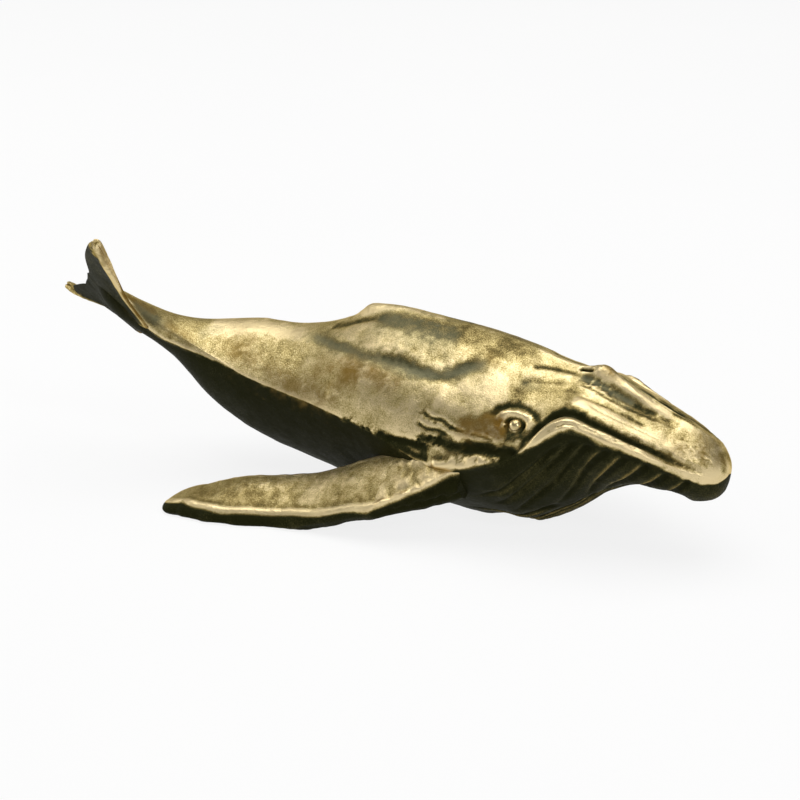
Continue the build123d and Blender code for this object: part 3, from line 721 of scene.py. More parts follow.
def carve_eye(carver, side):
    """Socket and lids round an eye."""
    place, _, across, up = eye_frame(side)
    turn = np.linspace(0, 2 * np.pi, PATH_SAMPLES)[:, None]
    ring = across * np.cos(turn) + up * np.sin(turn)
    radius, width = SOCKET
    carver.groove(place + ring * radius, width, SOCKET_DEPTH, ends=(0, 0), rough=0.6)
    radius, width = SOCKET_SHADE
    carver.tint("patina_and_painted_shade", place + ring * radius, width, 0.95, ends=(0, 0))
    # Lids: a painted highlight on the upper lid, and painted shade above it and below the eye
    for first, last, wide, tall, width, rise, stain, strength in EYE_RINGS:
        turn = np.linspace(first, last, 40)[:, None] * np.pi
        arc = up * np.sin(turn) * tall - side * across * np.cos(turn) * wide
        path = carver.snap(place + arc * MM)
        carver.groove(path, width * MM, -rise * MM, ends=(0.25, 0.25), rough=0.5)
        carver.tint(stain, path, width * MM, strength)


def ring_blur(values, reach):
    """Values on a grid of rings, averaged with those some columns away."""
    return (np.roll(values, reach, 1) + np.roll(values, -reach, 1) + 2 * values) / 4


def grid_blur(values, passes):
    """Values on a grid of rings, averaged with their neighbours along and round it."""
    for _ in range(passes):
        along = np.concatenate([values[:1], values, values[-1:]])
        values = ring_blur((along[:-2] + along[2:] + 2 * values) / 4, 1)
    return values


def hollows(points, normals):
    """How deep each point lies under (+) or over (-) its neighbourhood, from -1 to 1."""
    depth = sum(weight * np.einsum("ijk,ijk->ij", grid_blur(points, passes) - points, normals)
                for passes, weight in HOLLOW_SCALES)
    return np.clip(depth / HOLLOW_DEPTH, -1, 1)


def ease_stock(carved, at):
    """The carved grid with its tail stock rounded off and its joint with the flukes blurred."""
    passes, reach = STOCK_ROUND
    rounded = carved
    for _ in range(passes):
        rounded = ring_blur(rounded, reach)
    stock = climb(at, STOCK_ROUND_FROM, -STOCK_ROUND_LENGTH)[..., None]
    carved = carved + (rounded - carved) * stock
    joint = bell(np.arange(len(at)), TAIL_CAP_ROWS, JOINT_ROWS)[:, None, None]
    return carved + (grid_blur(carved, JOINT_PASSES) - carved) * joint


def belly_painted_shade(grid, at):
    """Painted shade under the belly's edge: how dark each point of the grid below it is made."""
    turn = np.arange(grid.shape[1]) / QUARTER_COLUMNS
    under = np.where(turn > 2, np.minimum(turn - 2, 4 - turn), -1)
    edge = read_table(TAIL_LINE + LIP_LINE, at) + DARK_EDGE_WAVE * grain_noise(grid, 1.5 * MM, 9)
    return np.clip((under - edge) / DARK_EDGE + 0.5, 0, 1) * (under >= 0)


def carved_body():
    """Carved points of the body on their grid, its stains with their painted shade and highlights,
    and hollows.
    """
    grid, at = body_grid()
    shape = grid.shape[:2]
    normals = outward_normals(grid)
    normals[:TAIL_CAP_ROWS // 3] = normals[TAIL_CAP_ROWS // 3]
    normals[-SNOUT_CAP_ROWS:] = normals[-SNOUT_CAP_ROWS - 1]
    carver = Carver(grid, normals)
    for side in (RIGHT, LEFT):
        carve_flank(carver, side)
        carve_eye(carver, side)
    carve_middle(carver)
    forms = carver.rise.copy()
    carve_tail_line(carver)
    ridge = (carver.rise - forms).reshape(shape)
    waves = sum(height * MM * grain_noise(grid, size * MM, seed)
                for height, size, seed in CAST_WAVES)
    row = np.arange(len(grid))[:, None]
    ease = climb(row, 0, TAIL_EASE_ROWS) * climb(row[::-1], 0, SNOUT_EASE_ROWS)
    carved = ease_stock(grid + normals * ((forms.reshape(shape) + waves) * ease)[..., None], at)
    carved = clear_of_floor(carved + normals * (ridge * ease)[..., None])
    stains = {name: value.reshape(shape) for name, value in carver.stain.items()}
    stains["hollow"] = hollows(carved, outward_normals(carved))
    # Painted shade: the belly below its edge is darkened, standing in for a dark reflection
    # underneath
    stains["patina_and_painted_shade"] = np.clip(stains["patina_and_painted_shade"] + belly_painted_shade(grid, at), -1, 1)
    return carved, stains


# Meshes

# Points nearer than this are one, shorter edges go, and edges sharper than the angle stay sharp
WELD_GAP = 0.002 * MM
SHORTEST_EDGE = 0.0005 * MM
SHARP_ANGLE = math.radians(62)


def clear_of_floor(points):
    """Points kept on or above the floor."""
    points[..., 2] = np.maximum(points[..., 2], 0)
    return points


def ring_mesh(name, points, stains, material):
    """A smooth closed mesh object of rings of points, both ends capped, with its stains."""
    rows, count = points.shape[:2]
    i, j = np.meshgrid(np.arange(rows - 1), np.arange(count), indexing="ij")
    k = (j + 1) % count
    quads = np.stack([i * count + j, i * count + k, (i + 1) * count + k, (i + 1) * count + j], -1)
    caps = [list(range(count)), list(range((rows - 1) * count, rows * count))]
    mesh = bpy.data.meshes.new(name)
    mesh.from_pydata(points.reshape(-1, 3).tolist(), [], quads.reshape(-1, 4).tolist() + caps)
    for stain in (*STAINS, "hollow"):
        values = np.broadcast_to(stains.get(stain, 0.0), (rows, count))
        mesh.attributes.new(stain, "FLOAT", "POINT").data.foreach_set("value", values.ravel())
    work = bmesh.new()
    work.from_mesh(mesh)
    bmesh.ops.remove_doubles(work, verts=work.verts, dist=WELD_GAP)
    bmesh.ops.dissolve_degenerate(work, edges=work.edges, dist=SHORTEST_EDGE)
    bmesh.ops.recalc_face_normals(work, faces=work.faces)
    work.to_mesh(mesh)
    work.free()
    mesh.shade_smooth()
    mesh.set_sharp_from_angle(angle=SHARP_ANGLE)
    mesh.materials.append(material)
    piece = bpy.data.objects.new(name, mesh)
    bpy.context.scene.collection.objects.link(piece)
    return piece


# Pieces

RING_COLUMNS = 120
# Rings along a flipper, along its collar and along the flukes, and a flipper's last station
FLIPPER_RINGS = 190
FLIPPER_LAST = 7.0
BRAZE_RINGS = 70
BRAZE_STATIONS = (-0.2, 1.75)
FLUKE_RINGS = 240
# What a flipper's heel, leading edge and thickness have over the bare blade
HEEL_MORE = 1.1 * MM
LEAD_MORE = 0.9 * MM
THICK_MORE = 0.8 * MM
TIP_ROWS = 14
TIP_REACH = 2.9 * MM
ROOT_STATION = 1.7
BRAZE_LEG = 0.7 * MM
ROOT_LIFT = 0.9 * MM
# The rolled rim's distance from the leading edge by station, and its slow wave
RIM_LINE = (
    (0.0, 2.0), (0.4, 1.30), (0.8, 1.05), (1.05, 0.80), (1.3, 0.70), (1.7, 0.80), (2.3, 1.15),
    (7.0, 1.15),
)
RIM_WAVE = 0.16 * MM
RIM_WIDTH = 0.42 * MM
# Beads along the rim, and knobs on the leading edge: station and height (share)
RIM_BEADS = ((0.45, 0.6), (0.92, 0.9), (1.42, 1.2))
FLIPPER_KNOBS = ((1.75, 1.3), (2.6, 0.5), (3.5, 0.9), (4.7, 0.5), (5.6, 0.7), (6.7, 0.4))
# Shares of the flukes' thickness over and under their chord, out from the middle to a tip
FLUKE_UPPER = ((0.0, 0.05), (0.45, 0.10), (0.60, 0.22), (0.73, 0.36), (0.86, 0.60), (1.0, 1.0))
FLUKE_LOWER = ((0.0, 0.36), (0.45, 0.42), (0.60, 0.60), (0.73, 0.82), (1.0, 1.0))
# How much shorter the far fluke's blade is: out, and share of the chord
FAR_TRIM = ((0.05, 0.0), (0.2, 0.11), (0.35, 0.19), (0.6, 0.17), (0.85, 0.15), (1.0, 0.10))
FAR_TWIST = math.radians(14)
ROOT_STRAKE = 0.16
# Where the flukes' painted shade starts behind the leading edge, and how high the painted shade on
# the rim's top reaches
FLUKE_SHADE = ((0.30, 0.34), (0.75, 0.75))
FLUKE_RIM_TOP = ((0.45, -0.42), (0.80, 0.5))
EYE_SINK_SHARE = 0.35


def flipper_rings(side, at):
    """Rings of a flipper at station numbers, with its chord and thickness there."""
    centre, chord_axis, thick_axis, chord, thick = flipper_frame(at, side)
    heel = HEEL_MORE * (climb(at, 3.8, 2.2) + 0.45 * bell(at, 2.5, 0.9))
    lead = LEAD_MORE * np.clip(at - 0.5, -0.7, 1)
    centre = centre + chord_axis * (lead - heel)[:, None] / 2
    chord = (chord + heel + lead)[:, None]
    thick = (thick + THICK_MORE * climb(at, 1.6, 1.6))[:, None]
    along, high = blade_ring(RING_COLUMNS)
    rings = (centre[:, None] + chord_axis[:, None] * (along * chord)[..., None]
             + thick_axis[:, None] * (high * thick)[..., None])
    return rings, chord, thick


def flipper_relief(at, chord):
    """Rise and stains that a flipper and its braze share: rim with its painted highlight, knobs,
    and painted shade on the leading edge and underneath.
    """
    at = at[:, None]
    along, high = blade_ring(RING_COLUMNS)
    top, under = np.clip(high * 6, 0, 1), np.clip(-high * 5, 0, 1)
    from_edge = (0.5 - along) * chord
    from_heel = (0.5 + along) * chord
    line = read_table(RIM_LINE, at) * MM + RIM_WAVE * np.sin(2.1 * at + 0.6 * np.sin(3.7 * at))
    out = climb(at, FLIPPER_LAST + 0.3, -0.8)
    rim = bell(from_edge, line, RIM_WIDTH) * out
    heel = bell(from_heel, 0.30 * MM, 0.34 * MM) * out
    past = climb(from_edge, line, -0.6 * MM) * climb(at, ROOT_STATION, -1.3 / 3)
    knob = sum(size * bell(at, place, 0.26) for place, size in FLIPPER_KNOBS)
    bead = sum(size * bell(at, place, 0.12) for place, size in RIM_BEADS)
    plump = climb(at, 2.6, 1.4)
    face = 0.20 * rim + 0.34 * bead * rim + 0.05 * heel - 0.30 * past + 0.25 * plump
    rise = (top * face + 0.22 * knob * climb(along, 0.25, 0.25) * (1 - past * top)) * MM
    front = (along > 0) * climb(from_edge, line - RIM_WIDTH, -0.25 * MM)
    # Painted shade underneath and on the band in front of the rim; darker behind the rim near the
    # root and towards the tip; painted highlight and wear along the rim and the heel
    stains = {
        "patina_and_painted_shade": np.clip(under + 0.95 * front + past * top + 0.14 * climb(at, 3.4, 2.0), 0, 1),
        "wear_and_painted_highlight": np.clip(top * (rim + heel * 0.55), 0, 1),
        "gold": 0.30 * top * (1 - rim) * (1 - front) * (1 - past),
    }
    return rise, stains


def flipper_piece(side, name, material):
    """A flipper: smooth grainy face with a rolled leading rim and soft knobs along it."""
    at = np.linspace(0, FLIPPER_LAST, FLIPPER_RINGS)
    points, chord, thick = flipper_rings(side, at)
    rise, stains = flipper_relief(at, chord)
    waves = 0.06 * grain_noise(points, 3.0 * MM, 21) + 0.02 * grain_noise(points, 0.8 * MM, 22)
    rise = rise + waves * np.clip(thick / FLIPPER_THICKNESS, 0.3, 1) * MM
    carved = points + outward_normals(points) * rise[..., None]
    onward = unit(points[-1].mean(0) - points[-6].mean(0))
    tip = rounded_end(carved[-1], onward, TIP_REACH, TIP_ROWS, blunt=0.9)
    carved = clear_of_floor(np.concatenate([carved, tip]))
    stains = {key: np.pad(value, ((0, TIP_ROWS), (0, 0)), "edge") for key, value in stains.items()}
    stains["hollow"] = hollows(carved, outward_normals(carved))
    return ring_mesh(name, carved, stains, material)


def braze_piece(side, name, material):
    """Lumpy collar of braze where a flipper meets the body."""
    at = np.linspace(*BRAZE_STATIONS, BRAZE_RINGS)
    points, chord, _ = flipper_rings(side, at)
    rise, stains = flipper_relief(at, chord)
    along, high = blade_ring(RING_COLUMNS)
    share = np.linspace(0, 1, len(at))[:, None]
    taper = climb(share, 1, -0.6) ** 0.8
    lumps = grain_noise(points, 1.6 * MM, 31) * 0.34 + grain_noise(points, 0.7 * MM, 32) * 0.10
    lumps = lumps * np.clip(0.6 + 2 * high, 0.25, 1)
    heel = 1 + 1.3 * np.clip(-2.4 * along - 0.2, 0, 1)
    swell = BRAZE_LEG * taper * heel * (0.55 + lumps) - 0.06 * MM * (1 - taper)
    behind = np.clip(0.5 - 1.4 * along, 0, 1)
    carved = points + outward_normals(points) * (rise + swell)[..., None]
    carved[..., 2] += ROOT_LIFT * climb(share, 0.75, -0.75) * np.clip(high * 4, 0, 1) * behind
    stains["hollow"] = np.clip(-lumps * 2.0, -1, 1)
    return ring_mesh(name, clear_of_floor(carved), stains, material)


def fluke_piece(name, material):
    """Both flukes in one blade across the stock's end, with a thick rounded leading edge."""
    forward, left, up = turned_axes(np.array(FLUKE_TURN, float))
    stock_end = STATION_SHARES[0, :3] * (LENGTH, BREADTH, DEPTH) - (0, 0, REST_SINK)
    both = np.concatenate([FLUKE_SHARES[:0:-1] * (-1, 1, 1, 1), FLUKE_SHARES])
    at = np.linspace(0, len(both) - 1, FLUKE_RINGS)[:, None]
    out, lead, trail, thick = np.moveaxis(natural_spline(both, at), -1, 0)
    from_middle = np.abs(out)
    trail = trail - read_table(FAR_TRIM, -out)
    lead = lead - ROOT_STRAKE * bell(from_middle, 0.18, 0.10)
    chord = np.maximum(trail - lead, 0.02) * FLUKE_CHORD
    centre = (stock_end - left * (out * FLUKE_SPAN / 2)
              - forward * ((lead + trail) / 2 * FLUKE_CHORD))
    twist = FAR_TWIST * climb(-out, 0.2, 0.6)
    lead_axis = forward * np.cos(twist) + up * np.sin(twist)
    lift_axis = up * np.cos(twist) - forward * np.sin(twist)
    along, high = blade_ring(RING_COLUMNS)
    thin = np.where(high > 0, read_table(FLUKE_UPPER, from_middle),
                    read_table(FLUKE_LOWER, from_middle))
    lift = high * (thick * FLUKE_THICKNESS) * thin
    points = (centre[:, None] + lead_axis[:, None] * (along * chord)[..., None]
              + lift_axis[:, None] * lift[..., None])

    from_lead = (0.5 - along) * chord
    blade = climb(from_middle, 0.16, 0.2)
    face = np.clip(np.abs(high) * 6, 0, 1)
    inside = climb(chord - from_lead, 0, 1.5 * MM)
    waves = 0.06 * grain_noise(points, 2.6 * MM, 41) + 0.02 * grain_noise(points, 0.9 * MM, 42)
    rim = 0.24 * bell(from_lead, 0.45 * MM, 0.55 * MM)
    dish = 0.20 * climb(from_lead, 1.2 * MM, 1.0 * MM) * inside
    rise = thin * face * ((rim - dish) * blade + waves * inside) * MM
    end = climb(np.minimum(at, at[::-1]), 0, 0.16)
    normals = outward_normals(points)
    carved = points + normals * (rise * np.clip(end, 0.15, 1))[..., None]
    middle = carved.mean(1, keepdims=True)
    carved = middle + (carved - middle) * np.sqrt(1 - (1 - end) ** 2)[..., None]

    edge = climb(along, 0.30, 0.16) * climb(from_middle, 0.05, 0.1)
    tip = climb(from_middle + 0.15 * grain_noise(points, 0.7 * MM, 43), 0.73, 0.10)
    over = climb(high, read_table(FLUKE_RIM_TOP, from_middle), 0.15)
    shade = climb(from_lead, read_table(FLUKE_SHADE, from_middle) * MM, 0.5 * MM)
    shade = shade * np.where(high > 0.05, 0.20, 0.86) * (1 - 0.85 * tip)
    far_under = 0.35 * (out < -0.1) * (high < 0.05) * (1 - tip)
    # Painted shade behind the leading edge, mostly underneath, under the far fluke and, with brown,
    # over the rim's top; painted highlight along the near leading edge
    stains = {
        "patina_and_painted_shade": shade + far_under + 0.30 * over * edge,
        "wear_and_painted_highlight": edge * np.where(out < 0, 0.1, 1.0) * (1 - over),
        "umber": 0.8 * over * edge,
        "gold": np.where(out < 0, 0.3, 0.7) * tip,
        "hollow": hollows(carved, normals),
    }
    return ring_mesh(name, carved, stains, material)


def eye_piece(side, name, material):
    """Small polished eye bead, a little egg-shaped and not quite even."""
    place, outward, across, up = eye_frame(side)
    radius = EYE_DIAMETER / 2
    lat = np.linspace(0, np.pi, 33)[:, None, None]
    lon = np.linspace(0, 2 * np.pi, 48, endpoint=False)[:, None]
    ball = (np.sin(lat) * (across * np.cos(lon) + 0.94 * up * np.sin(lon))
            + outward * np.cos(lat))
    bumps = 1 + 0.02 * grain_noise(ball, 0.9, 51)
    points = place - outward * radius * EYE_SINK_SHARE + ball * radius * bumps[..., None]
    return ring_mesh(name, points, {}, material)


# Materials

class Paint:
    """Builds one material's nodes, each helper returning the socket that carries its result."""

    def __init__(self, name):
        self.material = bpy.data.materials.new(name)
        self.material.use_nodes = True
        self.tree = self.material.node_tree
        self.shader = self.tree.nodes["Principled BSDF"]
        self.place = self.node("TexCoord", {}).outputs["Object"]

    def feed(self, socket, value):
        """Sets a socket to a number or colour, or links another socket to it."""
        if isinstance(value, bpy.types.NodeSocket):
            self.tree.links.new(value, socket)
        else:
            socket.default_value = value

    def node(self, kind, feeds, **settings):
        """A new node of that kind, with its settings made and its inputs fed."""
        node = self.tree.nodes.new("ShaderNode" + kind)
        for key, value in settings.items():
            setattr(node, key, value)
        for key, value in feeds.items():
            self.feed(node.inputs[key], value)
        return node

    def finish(self, feeds):
        """The material, with its shader's inputs fed."""
        for key, value in feeds.items():
            self.feed(self.shader.inputs[key], value)
        return self.material

    def stain(self, name):
        """The stain of that name, painted on the mesh's points."""
        return self.node("Attribute", {}, attribute_name=name).outputs["Fac"]

    def reckon(self, kind, first, second, clamp=False):
        """Result of a math node of that kind, held from 0 to 1 where clamp says so."""
        return self.node("Math", {0: first, 1: second}, operation=kind, use_clamp=clamp).outputs[0]

    def times(self, first, second, clamp=False):
        """Two values multiplied."""
        return self.reckon("MULTIPLY", first, second, clamp)

    def total(self, *values, clamp=False):
        """Several values added up."""
        total = values[0]
        for value in values[1:]:
            total = self.reckon("ADD", total, value, clamp and value is values[-1])
        return total

    def noise(self, size, detail=3.0, rough=0.55, warp=0.0):
        """Noise from 0 to 1 with features of about that size."""
        feeds = {"Vector": self.place, "Scale": 1 / size, "Detail": detail, "Roughness": rough,
                 "Distortion": warp}
        return self.node("TexNoise", feeds).outputs["Fac"]

    def specks(self, size):
        """Distance to the nearest of scattered specks of about that size."""
        feeds = {"Vector": self.place, "Scale": 1 / size}
        return self.node("TexVoronoi", feeds).outputs["Distance"]

    def span(self, value, low, high, start=0.0, end=1.0):
        """A value between low and high, spread from start to end and held there."""
        feeds = {"Value": value, "From Min": low, "From Max": high, "To Min": start, "To Max": end}
        return self.node("MapRange", feeds).outputs["Result"]

    def blend(self, share, first, second):
        """Two colours mixed by a share."""
        feeds = {"Factor": share, "A": first, "B": second}
        return self.node("Mix", feeds, data_type="RGBA").outputs["Result"]

    def ramp(self, value, *stops):
        """Colour read from stops of place and colour."""
        node = self.node("ValToRGB", {"Fac": value})
        marks = node.color_ramp.elements
        while len(marks) < len(stops):
            marks.new(0.5)
        for mark, (place, colour) in zip(marks, stops):
            mark.position = place
            mark.color = colour
        return node.outputs["Color"]

    def bump(self, height, depth, under=None):
        """Normal raised by a height from 0 to 1 over that depth."""
        feeds = {"Distance": depth, "Strength": 1.0, "Height": height}
        if under is not None:
            feeds["Normal"] = under
        return self.node("Bump", feeds).outputs["Normal"]


def rgb(values):
    """A colour setting as four numbers."""
    return (*values[:3], 1.0)


def antique_brass(name, patina, grain):
    """Cast brass under a rubbed dark patina: how far that covers, and how deep the grain is."""
    finish = bpy.context.scene.whale_finish
    paint = Paint(name)
    patina_and_painted_shade, wear_and_painted_highlight, umber, gold, haze_and_painted_reflection = (paint.stain(stain) for stain in STAINS)
    hollow = paint.stain("hollow")
    clouds = paint.noise(7.0 * MM, 4.0, 0.6, 0.6)
    mottle = paint.noise(1.5 * MM, 5.0, 0.65, 0.4)
    speckle = paint.noise(0.14 * MM, 2.0, 0.75)
    # Patina depth from the stains: dark patina and painted shade deepen it, wear and painted
    # highlights take it off
    depth = paint.total(
        paint.span(clouds, 0.3, 0.7, -0.10, 0.10), patina,
        paint.span(mottle, 0.3, 0.7, -0.06, 0.06),
        paint.span(speckle, 0.32, 0.68, -0.16, 0.16),
        paint.times(hollow, paint.span(patina_and_painted_shade, 0.0, 1.0, 0.42, 0.16)),
        paint.times(patina_and_painted_shade, 0.85), paint.times(wear_and_painted_highlight, -0.55), clamp=True)
    # The worn end is worn brass and also the colour that painted highlights reach
    colour = paint.ramp(depth, (0.0, rgb(finish.worn)), (0.30, rgb(finish.cast)),
                        (0.48, rgb(finish.brown)), (0.70, rgb(finish.olive)),
                        (1.0, rgb(finish.patina_and_painted_shade)))
    # The grey-green haze laid on here is mostly a painted reflection
    for stain, texture, patch in ((umber, (mottle, 0.35, 0.6, 0.35, 1.0), finish.umber),
                                  (gold, (mottle, 0.38, 0.58, 0.1, 0.9), finish.gold),
                                  (haze_and_painted_reflection, (clouds, 0.35, 0.65, 0.45, 0.85), finish.haze_and_painted_reflection)):
        share = paint.times(stain, paint.span(*texture), clamp=True)
        colour = paint.blend(share, colour, rgb(patch))
    casting = paint.bump(paint.noise(0.55 * MM, 4.0, 0.6), 0.030 * MM * grain)
    pits = paint.bump(paint.span(paint.specks(0.30 * MM), 0.05, 0.30), 0.008 * MM * grain, casting)
    return paint.finish({
        "Base Color": colour,
        "Metallic": paint.span(depth, 0.35, 0.90, 1.0, 0.0),
        "Specular IOR Level": 0.05,
        "Specular Tint": (0.86, 0.74, 0.45, 1.0),
        "Roughness": paint.total(paint.span(depth, 0.0, 0.9, 0.38, 0.56),
                                 paint.span(mottle, 0.3, 0.7, -0.06, 0.08),
                                 paint.span(speckle, 0.3, 0.7, -0.05, 0.08)),
        "Normal": paint.bump(paint.noise(0.15 * MM, 2.0, 0.6), 0.034 * MM * grain, pits),
    })


def bare_brass(name, roughness):
    """Plain brass of the pins and the polished eye beads, with fine scratches and dull spots."""
    finish = bpy.context.scene.whale_finish
    paint = Paint(name)
    mottle = paint.noise(0.5 * MM, 4.0, 0.6)
    return paint.finish({
        "Base Color": paint.ramp(mottle, (0.35, rgb(finish.worn)), (0.75, rgb(finish.cast))),
        "Metallic": 1.0,
        "Roughness": paint.span(mottle, 0.3, 0.7, roughness, roughness + 0.15),
        "Normal": paint.bump(paint.noise(0.15 * MM, 2.0, 0.6), 0.004 * MM),
    })


def floor_white(name):
    """Pale floor: white to the camera and to reflections, with the figure's soft shadow kept."""
    paint = Paint(name)
    clouds = paint.noise(60.0 * MM, 3.0, 0.5)
    pale = paint.ramp(clouds, (0.3, (0.80, 0.80, 0.80, 1)), (0.7, (0.84, 0.84, 0.83, 1)))
    floor = paint.finish({"Base Color": pale, "Roughness": 0.9, "Specular IOR Level": 0.1})
    rays = paint.node("LightPath", {}).outputs
    seen = paint.reckon("MAXIMUM", rays["Is Camera Ray"], rays["Is Glossy Ray"])
    seen = paint.reckon("MAXIMUM", seen, rays["Is Transmission Ray"])
    white = paint.node("Emission", {"Strength": 1.0}).outputs["Emission"]
    share = paint.times(seen, bpy.context.scene.whale_stage.floor_glow)
    mix = paint.node("MixShader", {"Fac": share, 1: paint.shader.outputs["BSDF"], 2: white})
    paint.feed(paint.tree.nodes["Material Output"].inputs["Surface"], mix.outputs["Shader"])
    return floor


# Settings a user would change

def colour_setting(name, description, default):
    """A colour property with that name and default."""
    return bpy.props.FloatVectorProperty(name=name, description=description, default=default,
                                         size=3, min=0.0, max=1.0, subtype="COLOR")


def number_setting(name, description, default, **limits):
    """A number property with that name, default and limits."""
    return bpy.props.FloatProperty(name=name, description=description, default=default, **limits)


class WhaleFinish(bpy.types.PropertyGroup):
    """Colours and texture of the antiqued brass"""

    # Worn brass, and the colour that the painted highlights reach
    worn: colour_setting("Worn brass", "Brass rubbed bright on high places", (0.75, 0.61, 0.34))
    cast: colour_setting("Cast brass", "Brass under a light patina", (0.38, 0.305, 0.125))
    brown: colour_setting("Brown patina", "First film of patina over the brass",
                          (0.17, 0.125, 0.045))
    olive: colour_setting("Olive patina", "Patina that settles in low places",
                          (0.052, 0.049, 0.018))
    # Dark patina in grooves, and the colour of the painted shade under the belly and in shaded
    # places
    patina_and_painted_shade: colour_setting("Dark patina", "Patina left in grooves, and painted shade underneath",
                         (0.014, 0.015, 0.004))
    umber: colour_setting("Brown patch", "Warm brown tint beside the eye and on the flank",
                          (0.22, 0.125, 0.022))
    gold: colour_setting("Gold patch", "Darker gold mottling on the tail stock",
                         (0.22, 0.15, 0.045))
    # Grey-green haze: mostly a painted reflection in the valley behind the fin and along the back
    haze_and_painted_reflection: colour_setting("Grey-green haze", "Dull haze in the valley behind the fin",
                         (0.20, 0.19, 0.11))
    grain: number_setting("Grain", "Depth of the cast grain", 1.0, min=0.0, max=3.0,
                          subtype="FACTOR")


class WhaleStage(bpy.types.PropertyGroup):
    """Floor, lamps and camera"""

    floor_size: number_setting("Floor size", "Width of the floor", 4.0, min=1.0, unit="LENGTH")
    floor_glow: number_setting("Floor glow", "Share of plain white in the floor", 0.84,
                               min=0.0, max=1.0, subtype="FACTOR")
    key_power: number_setting("Key lamp", "Power of the lamp above", 1.75, min=0.0, unit="POWER")
    fill_power: number_setting("Fill lamps", "Power of the side lamps", 0.5, min=0.0, unit="POWER")
    sky: number_setting("Room light", "Strength of the plain light all round", 0.26, min=0.0)
    azimuth: number_setting("Camera turn", "Turn of the camera round the figure",
                            math.radians(30), subtype="ANGLE")
    elevation: number_setting("Camera height", "Angle of the camera above the floor",
                              math.radians(22), subtype="ANGLE")
    distance: number_setting("Camera distance", "Distance from the camera to the figure", 0.25,
                             min=0.05, unit="LENGTH")
    aim_height: number_setting("Aim height", "Height that the camera looks at", 10.22 * MM,
                               unit="LENGTH")
    lens: number_setting("Lens", "Focal length in millimetres", 100.0, min=20.0, unit="CAMERA")


# Operators

BODY = "root"
SIDES = ((RIGHT, "right"), (LEFT, "left"))
# The castings: piece, first quarter of the grid, material and its patina, CAD node, slot
CASTINGS = (
    ("back_skin", 0, "Rubbed brass with painted highlights", 0.27, "back_casting", "brass_lit"),
    # The back casting's bright places are partly painted highlights from its stains
    ("belly_skin", 2, "Belly brass with painted shade", 0.26, "belly_casting", "brass_dark"),
# The belly casting's darkness is painted shade from its stains
)
CORNERS = ((-1, -1), (1, -1), (1, 1), (-1, 1))
FLOOR_HEIGHT = 0.0
COVE_WIDTH = 0.4
COVE_HEIGHT = 0.8


def dress(piece, node):
    """Makes a finished piece ride on the whale and stand for its CAD node."""
    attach(piece, BODY)
    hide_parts(node)


class WHALE_OT_body(bpy.types.Operator):
    """Builds the back and belly castings with their folds, pleats, fin and patina, and painted
    shade and highlights
    """

    bl_idname = "whale.body"
    bl_label = "Body castings"

    def execute(self, context):
        carved, stains = carved_body()
        grain = context.scene.whale_finish.grain
        for name, quarter, finish, patina, node, slot in CASTINGS:
            columns = np.arange(quarter * QUARTER_COLUMNS, (quarter + 2) * QUARTER_COLUMNS + 1)
            columns %= carved.shape[1]
            half = {key: value[:, columns] for key, value in stains.items()}
            brass = antique_brass(finish, patina, grain)
            dress(ring_mesh(name, carved[:, columns], half, brass), node)
        return {"FINISHED"}


class WHALE_OT_flippers(bpy.types.Operator):
    """Builds both flippers with their rolled rims and knobs"""

    bl_idname = "whale.flippers"
    bl_label = "Flippers"

    def execute(self, context):
        grain = 1.7 * context.scene.whale_finish.grain
        brass = antique_brass("Grainy flipper brass", 0.27, grain)
        for side, word in SIDES:
            piece = flipper_piece(side, word + "_fin_blade", brass)
            dress(piece, word + "_flipper")
        return {"FINISHED"}


class WHALE_OT_braze(bpy.types.Operator):
    """Builds the lumpy braze collars at the flipper roots"""

    bl_idname = "whale.braze"
    bl_label = "Braze collars"

    def execute(self, context):
        brass = antique_brass("Lumpy braze", 0.22, 1.5 * context.scene.whale_finish.grain)
        for side, word in SIDES:
            piece = braze_piece(side, word + "_braze_collar", brass)
            dress(piece, word + "_flipper_braze")
        return {"FINISHED"}


class WHALE_OT_flukes(bpy.types.Operator):
    """Builds the tail flukes"""

    bl_idname = "whale.flukes"
    bl_label = "Tail flukes"

    def execute(self, context):
        brass = antique_brass("Fluke brass", 0.24, context.scene.whale_finish.grain)
        dress(fluke_piece("tail_fluke_blade", brass), "tail_flukes")
        return {"FINISHED"}


class WHALE_OT_eyes(bpy.types.Operator):
    """Builds the two eye beads"""

    bl_idname = "whale.eyes"
    bl_label = "Eye beads"

    def execute(self, context):
        brass = bare_brass("Eye brass", 0.22)
        for side, word in SIDES:
            dress(eye_piece(side, word + "_eye_bead", brass), word + "_eye")
        return {"FINISHED"}


class WHALE_OT_pins(bpy.types.Operator):
    """Gives the hidden locating pins their brass"""

    bl_idname = "whale.pins"
    bl_label = "Locating pins"

    def execute(self, context):
        brass = bare_brass("Pin brass", 0.30)
        for node in ("front_pin", "rear_pin"):
            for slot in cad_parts[node].material_slots:
                slot.material = brass
        return {"FINISHED"}


def area_lamp(name, place, aim, width, power):
    """A square soft lamp that points at a place."""
    lamp = bpy.data.lights.new(name, "AREA")
    lamp.size = width
    lamp.energy = power
    piece = bpy.data.objects.new(name, lamp)
    piece.location = place
    piece.rotation_euler = (Vector(aim) - Vector(place)).to_track_quat("-Z", "Y").to_euler()
    bpy.context.scene.collection.objects.link(piece)


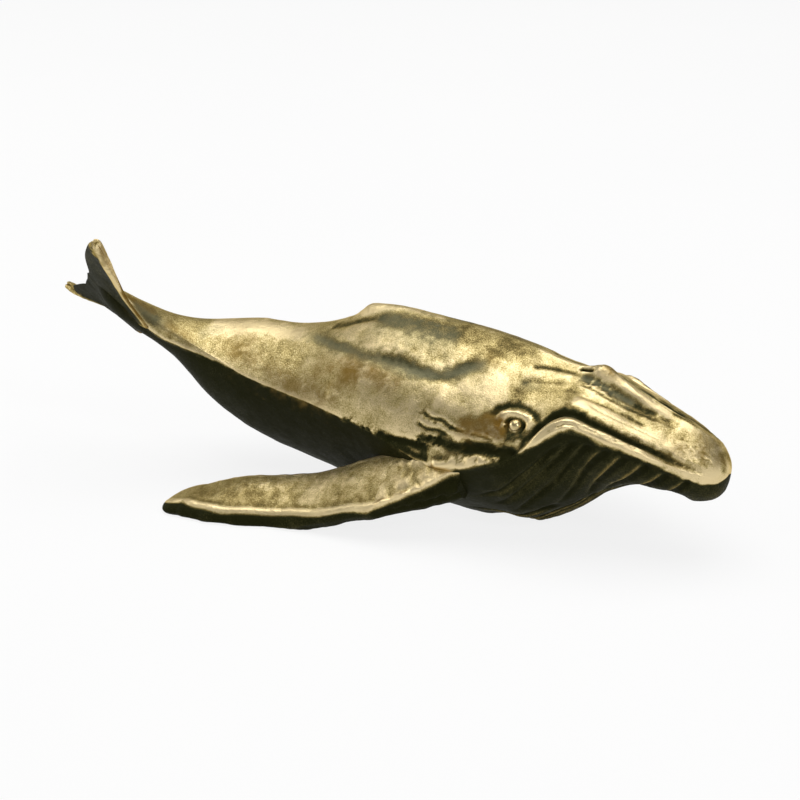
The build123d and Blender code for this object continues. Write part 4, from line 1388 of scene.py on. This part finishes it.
class WHALE_OT_stage(bpy.types.Operator):
    """Sets the floor, lamps, room light and camera"""

    bl_idname = "whale.stage"
    bl_label = "Stage"

    def execute(self, context):
        stage = context.scene.whale_stage
        half = stage.floor_size / 2
        levels = ((half, FLOOR_HEIGHT), (half + COVE_WIDTH, COVE_HEIGHT))
        corners = [(x * reach, y * reach, height) for reach, height in levels for x, y in CORNERS]
        cove = [(i, i + 4, (i + 1) % 4 + 4, (i + 1) % 4) for i in range(4)]
        mesh = bpy.data.meshes.new("pale_floor")
        mesh.from_pydata(corners, [], [(0, 1, 2, 3)] + cove)
        mesh.materials.append(floor_white("Pale floor"))
        floor = bpy.data.objects.new("pale_floor", mesh)
        context.scene.collection.objects.link(floor)

        aim = Vector((0, 0, stage.aim_height))
        turn, tilt = stage.azimuth, stage.elevation
        level = math.cos(tilt)
        back = Vector((math.sin(turn) * level, -math.cos(turn) * level, math.sin(tilt)))
        camera = bpy.data.objects.new("Camera", bpy.data.cameras.new("Camera"))
        camera.data.lens = stage.lens
        camera.data.sensor_width = 36.0
        camera.data.clip_start = 0.01
        camera.location = aim + back * stage.distance
        camera.rotation_euler = back.to_track_quat("Z", "Y").to_euler()
        context.scene.collection.objects.link(camera)
        context.scene.camera = camera

        area_lamp("Key lamp", (-0.03, 0.05, 0.44), aim, 0.44, stage.key_power)
        area_lamp("Left fill", (-0.45, -0.10, 0.16), aim, 0.25, stage.fill_power)
        area_lamp("Right fill", (0.40, -0.20, 0.35), aim, 0.12, stage.fill_power)

        world = bpy.data.worlds.new("Plain room")
        world.use_nodes = True
        room = world.node_tree.nodes["Background"]
        room.inputs["Color"].default_value = (1, 1, 1, 1)
        room.inputs["Strength"].default_value = stage.sky
        context.scene.world = world
        context.scene.view_settings.view_transform = "Standard"
        return {"FINISHED"}


class WHALE_PT_panel(bpy.types.Panel):
    """Lists the whale's steps and settings"""

    bl_label = "Brass whale"
    bl_idname = "WHALE_PT_panel"
    bl_space_type = "VIEW_3D"
    bl_region_type = "UI"
    bl_category = "Whale"

    def draw(self, context):
        column = self.layout.column()
        for operator in OPERATORS:
            column.operator(operator.bl_idname)
        for group in (context.scene.whale_finish, context.scene.whale_stage):
            box = self.layout.box()
            for name in group.__annotations__:
                box.prop(group, name)


OPERATORS = (WHALE_OT_body, WHALE_OT_flippers, WHALE_OT_braze, WHALE_OT_flukes, WHALE_OT_eyes,
             WHALE_OT_pins, WHALE_OT_stage)
CLASSES = (WhaleFinish, WhaleStage) + OPERATORS + (WHALE_PT_panel,)


def register():
    """Registers the classes and their settings."""
    for kind in CLASSES:
        bpy.utils.register_class(kind)
    bpy.types.Scene.whale_finish = bpy.props.PointerProperty(type=WhaleFinish)
    bpy.types.Scene.whale_stage = bpy.props.PointerProperty(type=WhaleStage)


def unregister():
    """Takes the classes and their settings away."""
    del bpy.types.Scene.whale_stage
    del bpy.types.Scene.whale_finish
    for kind in reversed(CLASSES):
        bpy.utils.unregister_class(kind)


def main():
    """Builds every piece and the stage."""
    register()
    bpy.ops.whale.body()
    bpy.ops.whale.flippers()
    bpy.ops.whale.braze()
    bpy.ops.whale.flukes()
    bpy.ops.whale.eyes()
    bpy.ops.whale.pins()
    bpy.ops.whale.stage()


if __name__ == "__main__":
    main()
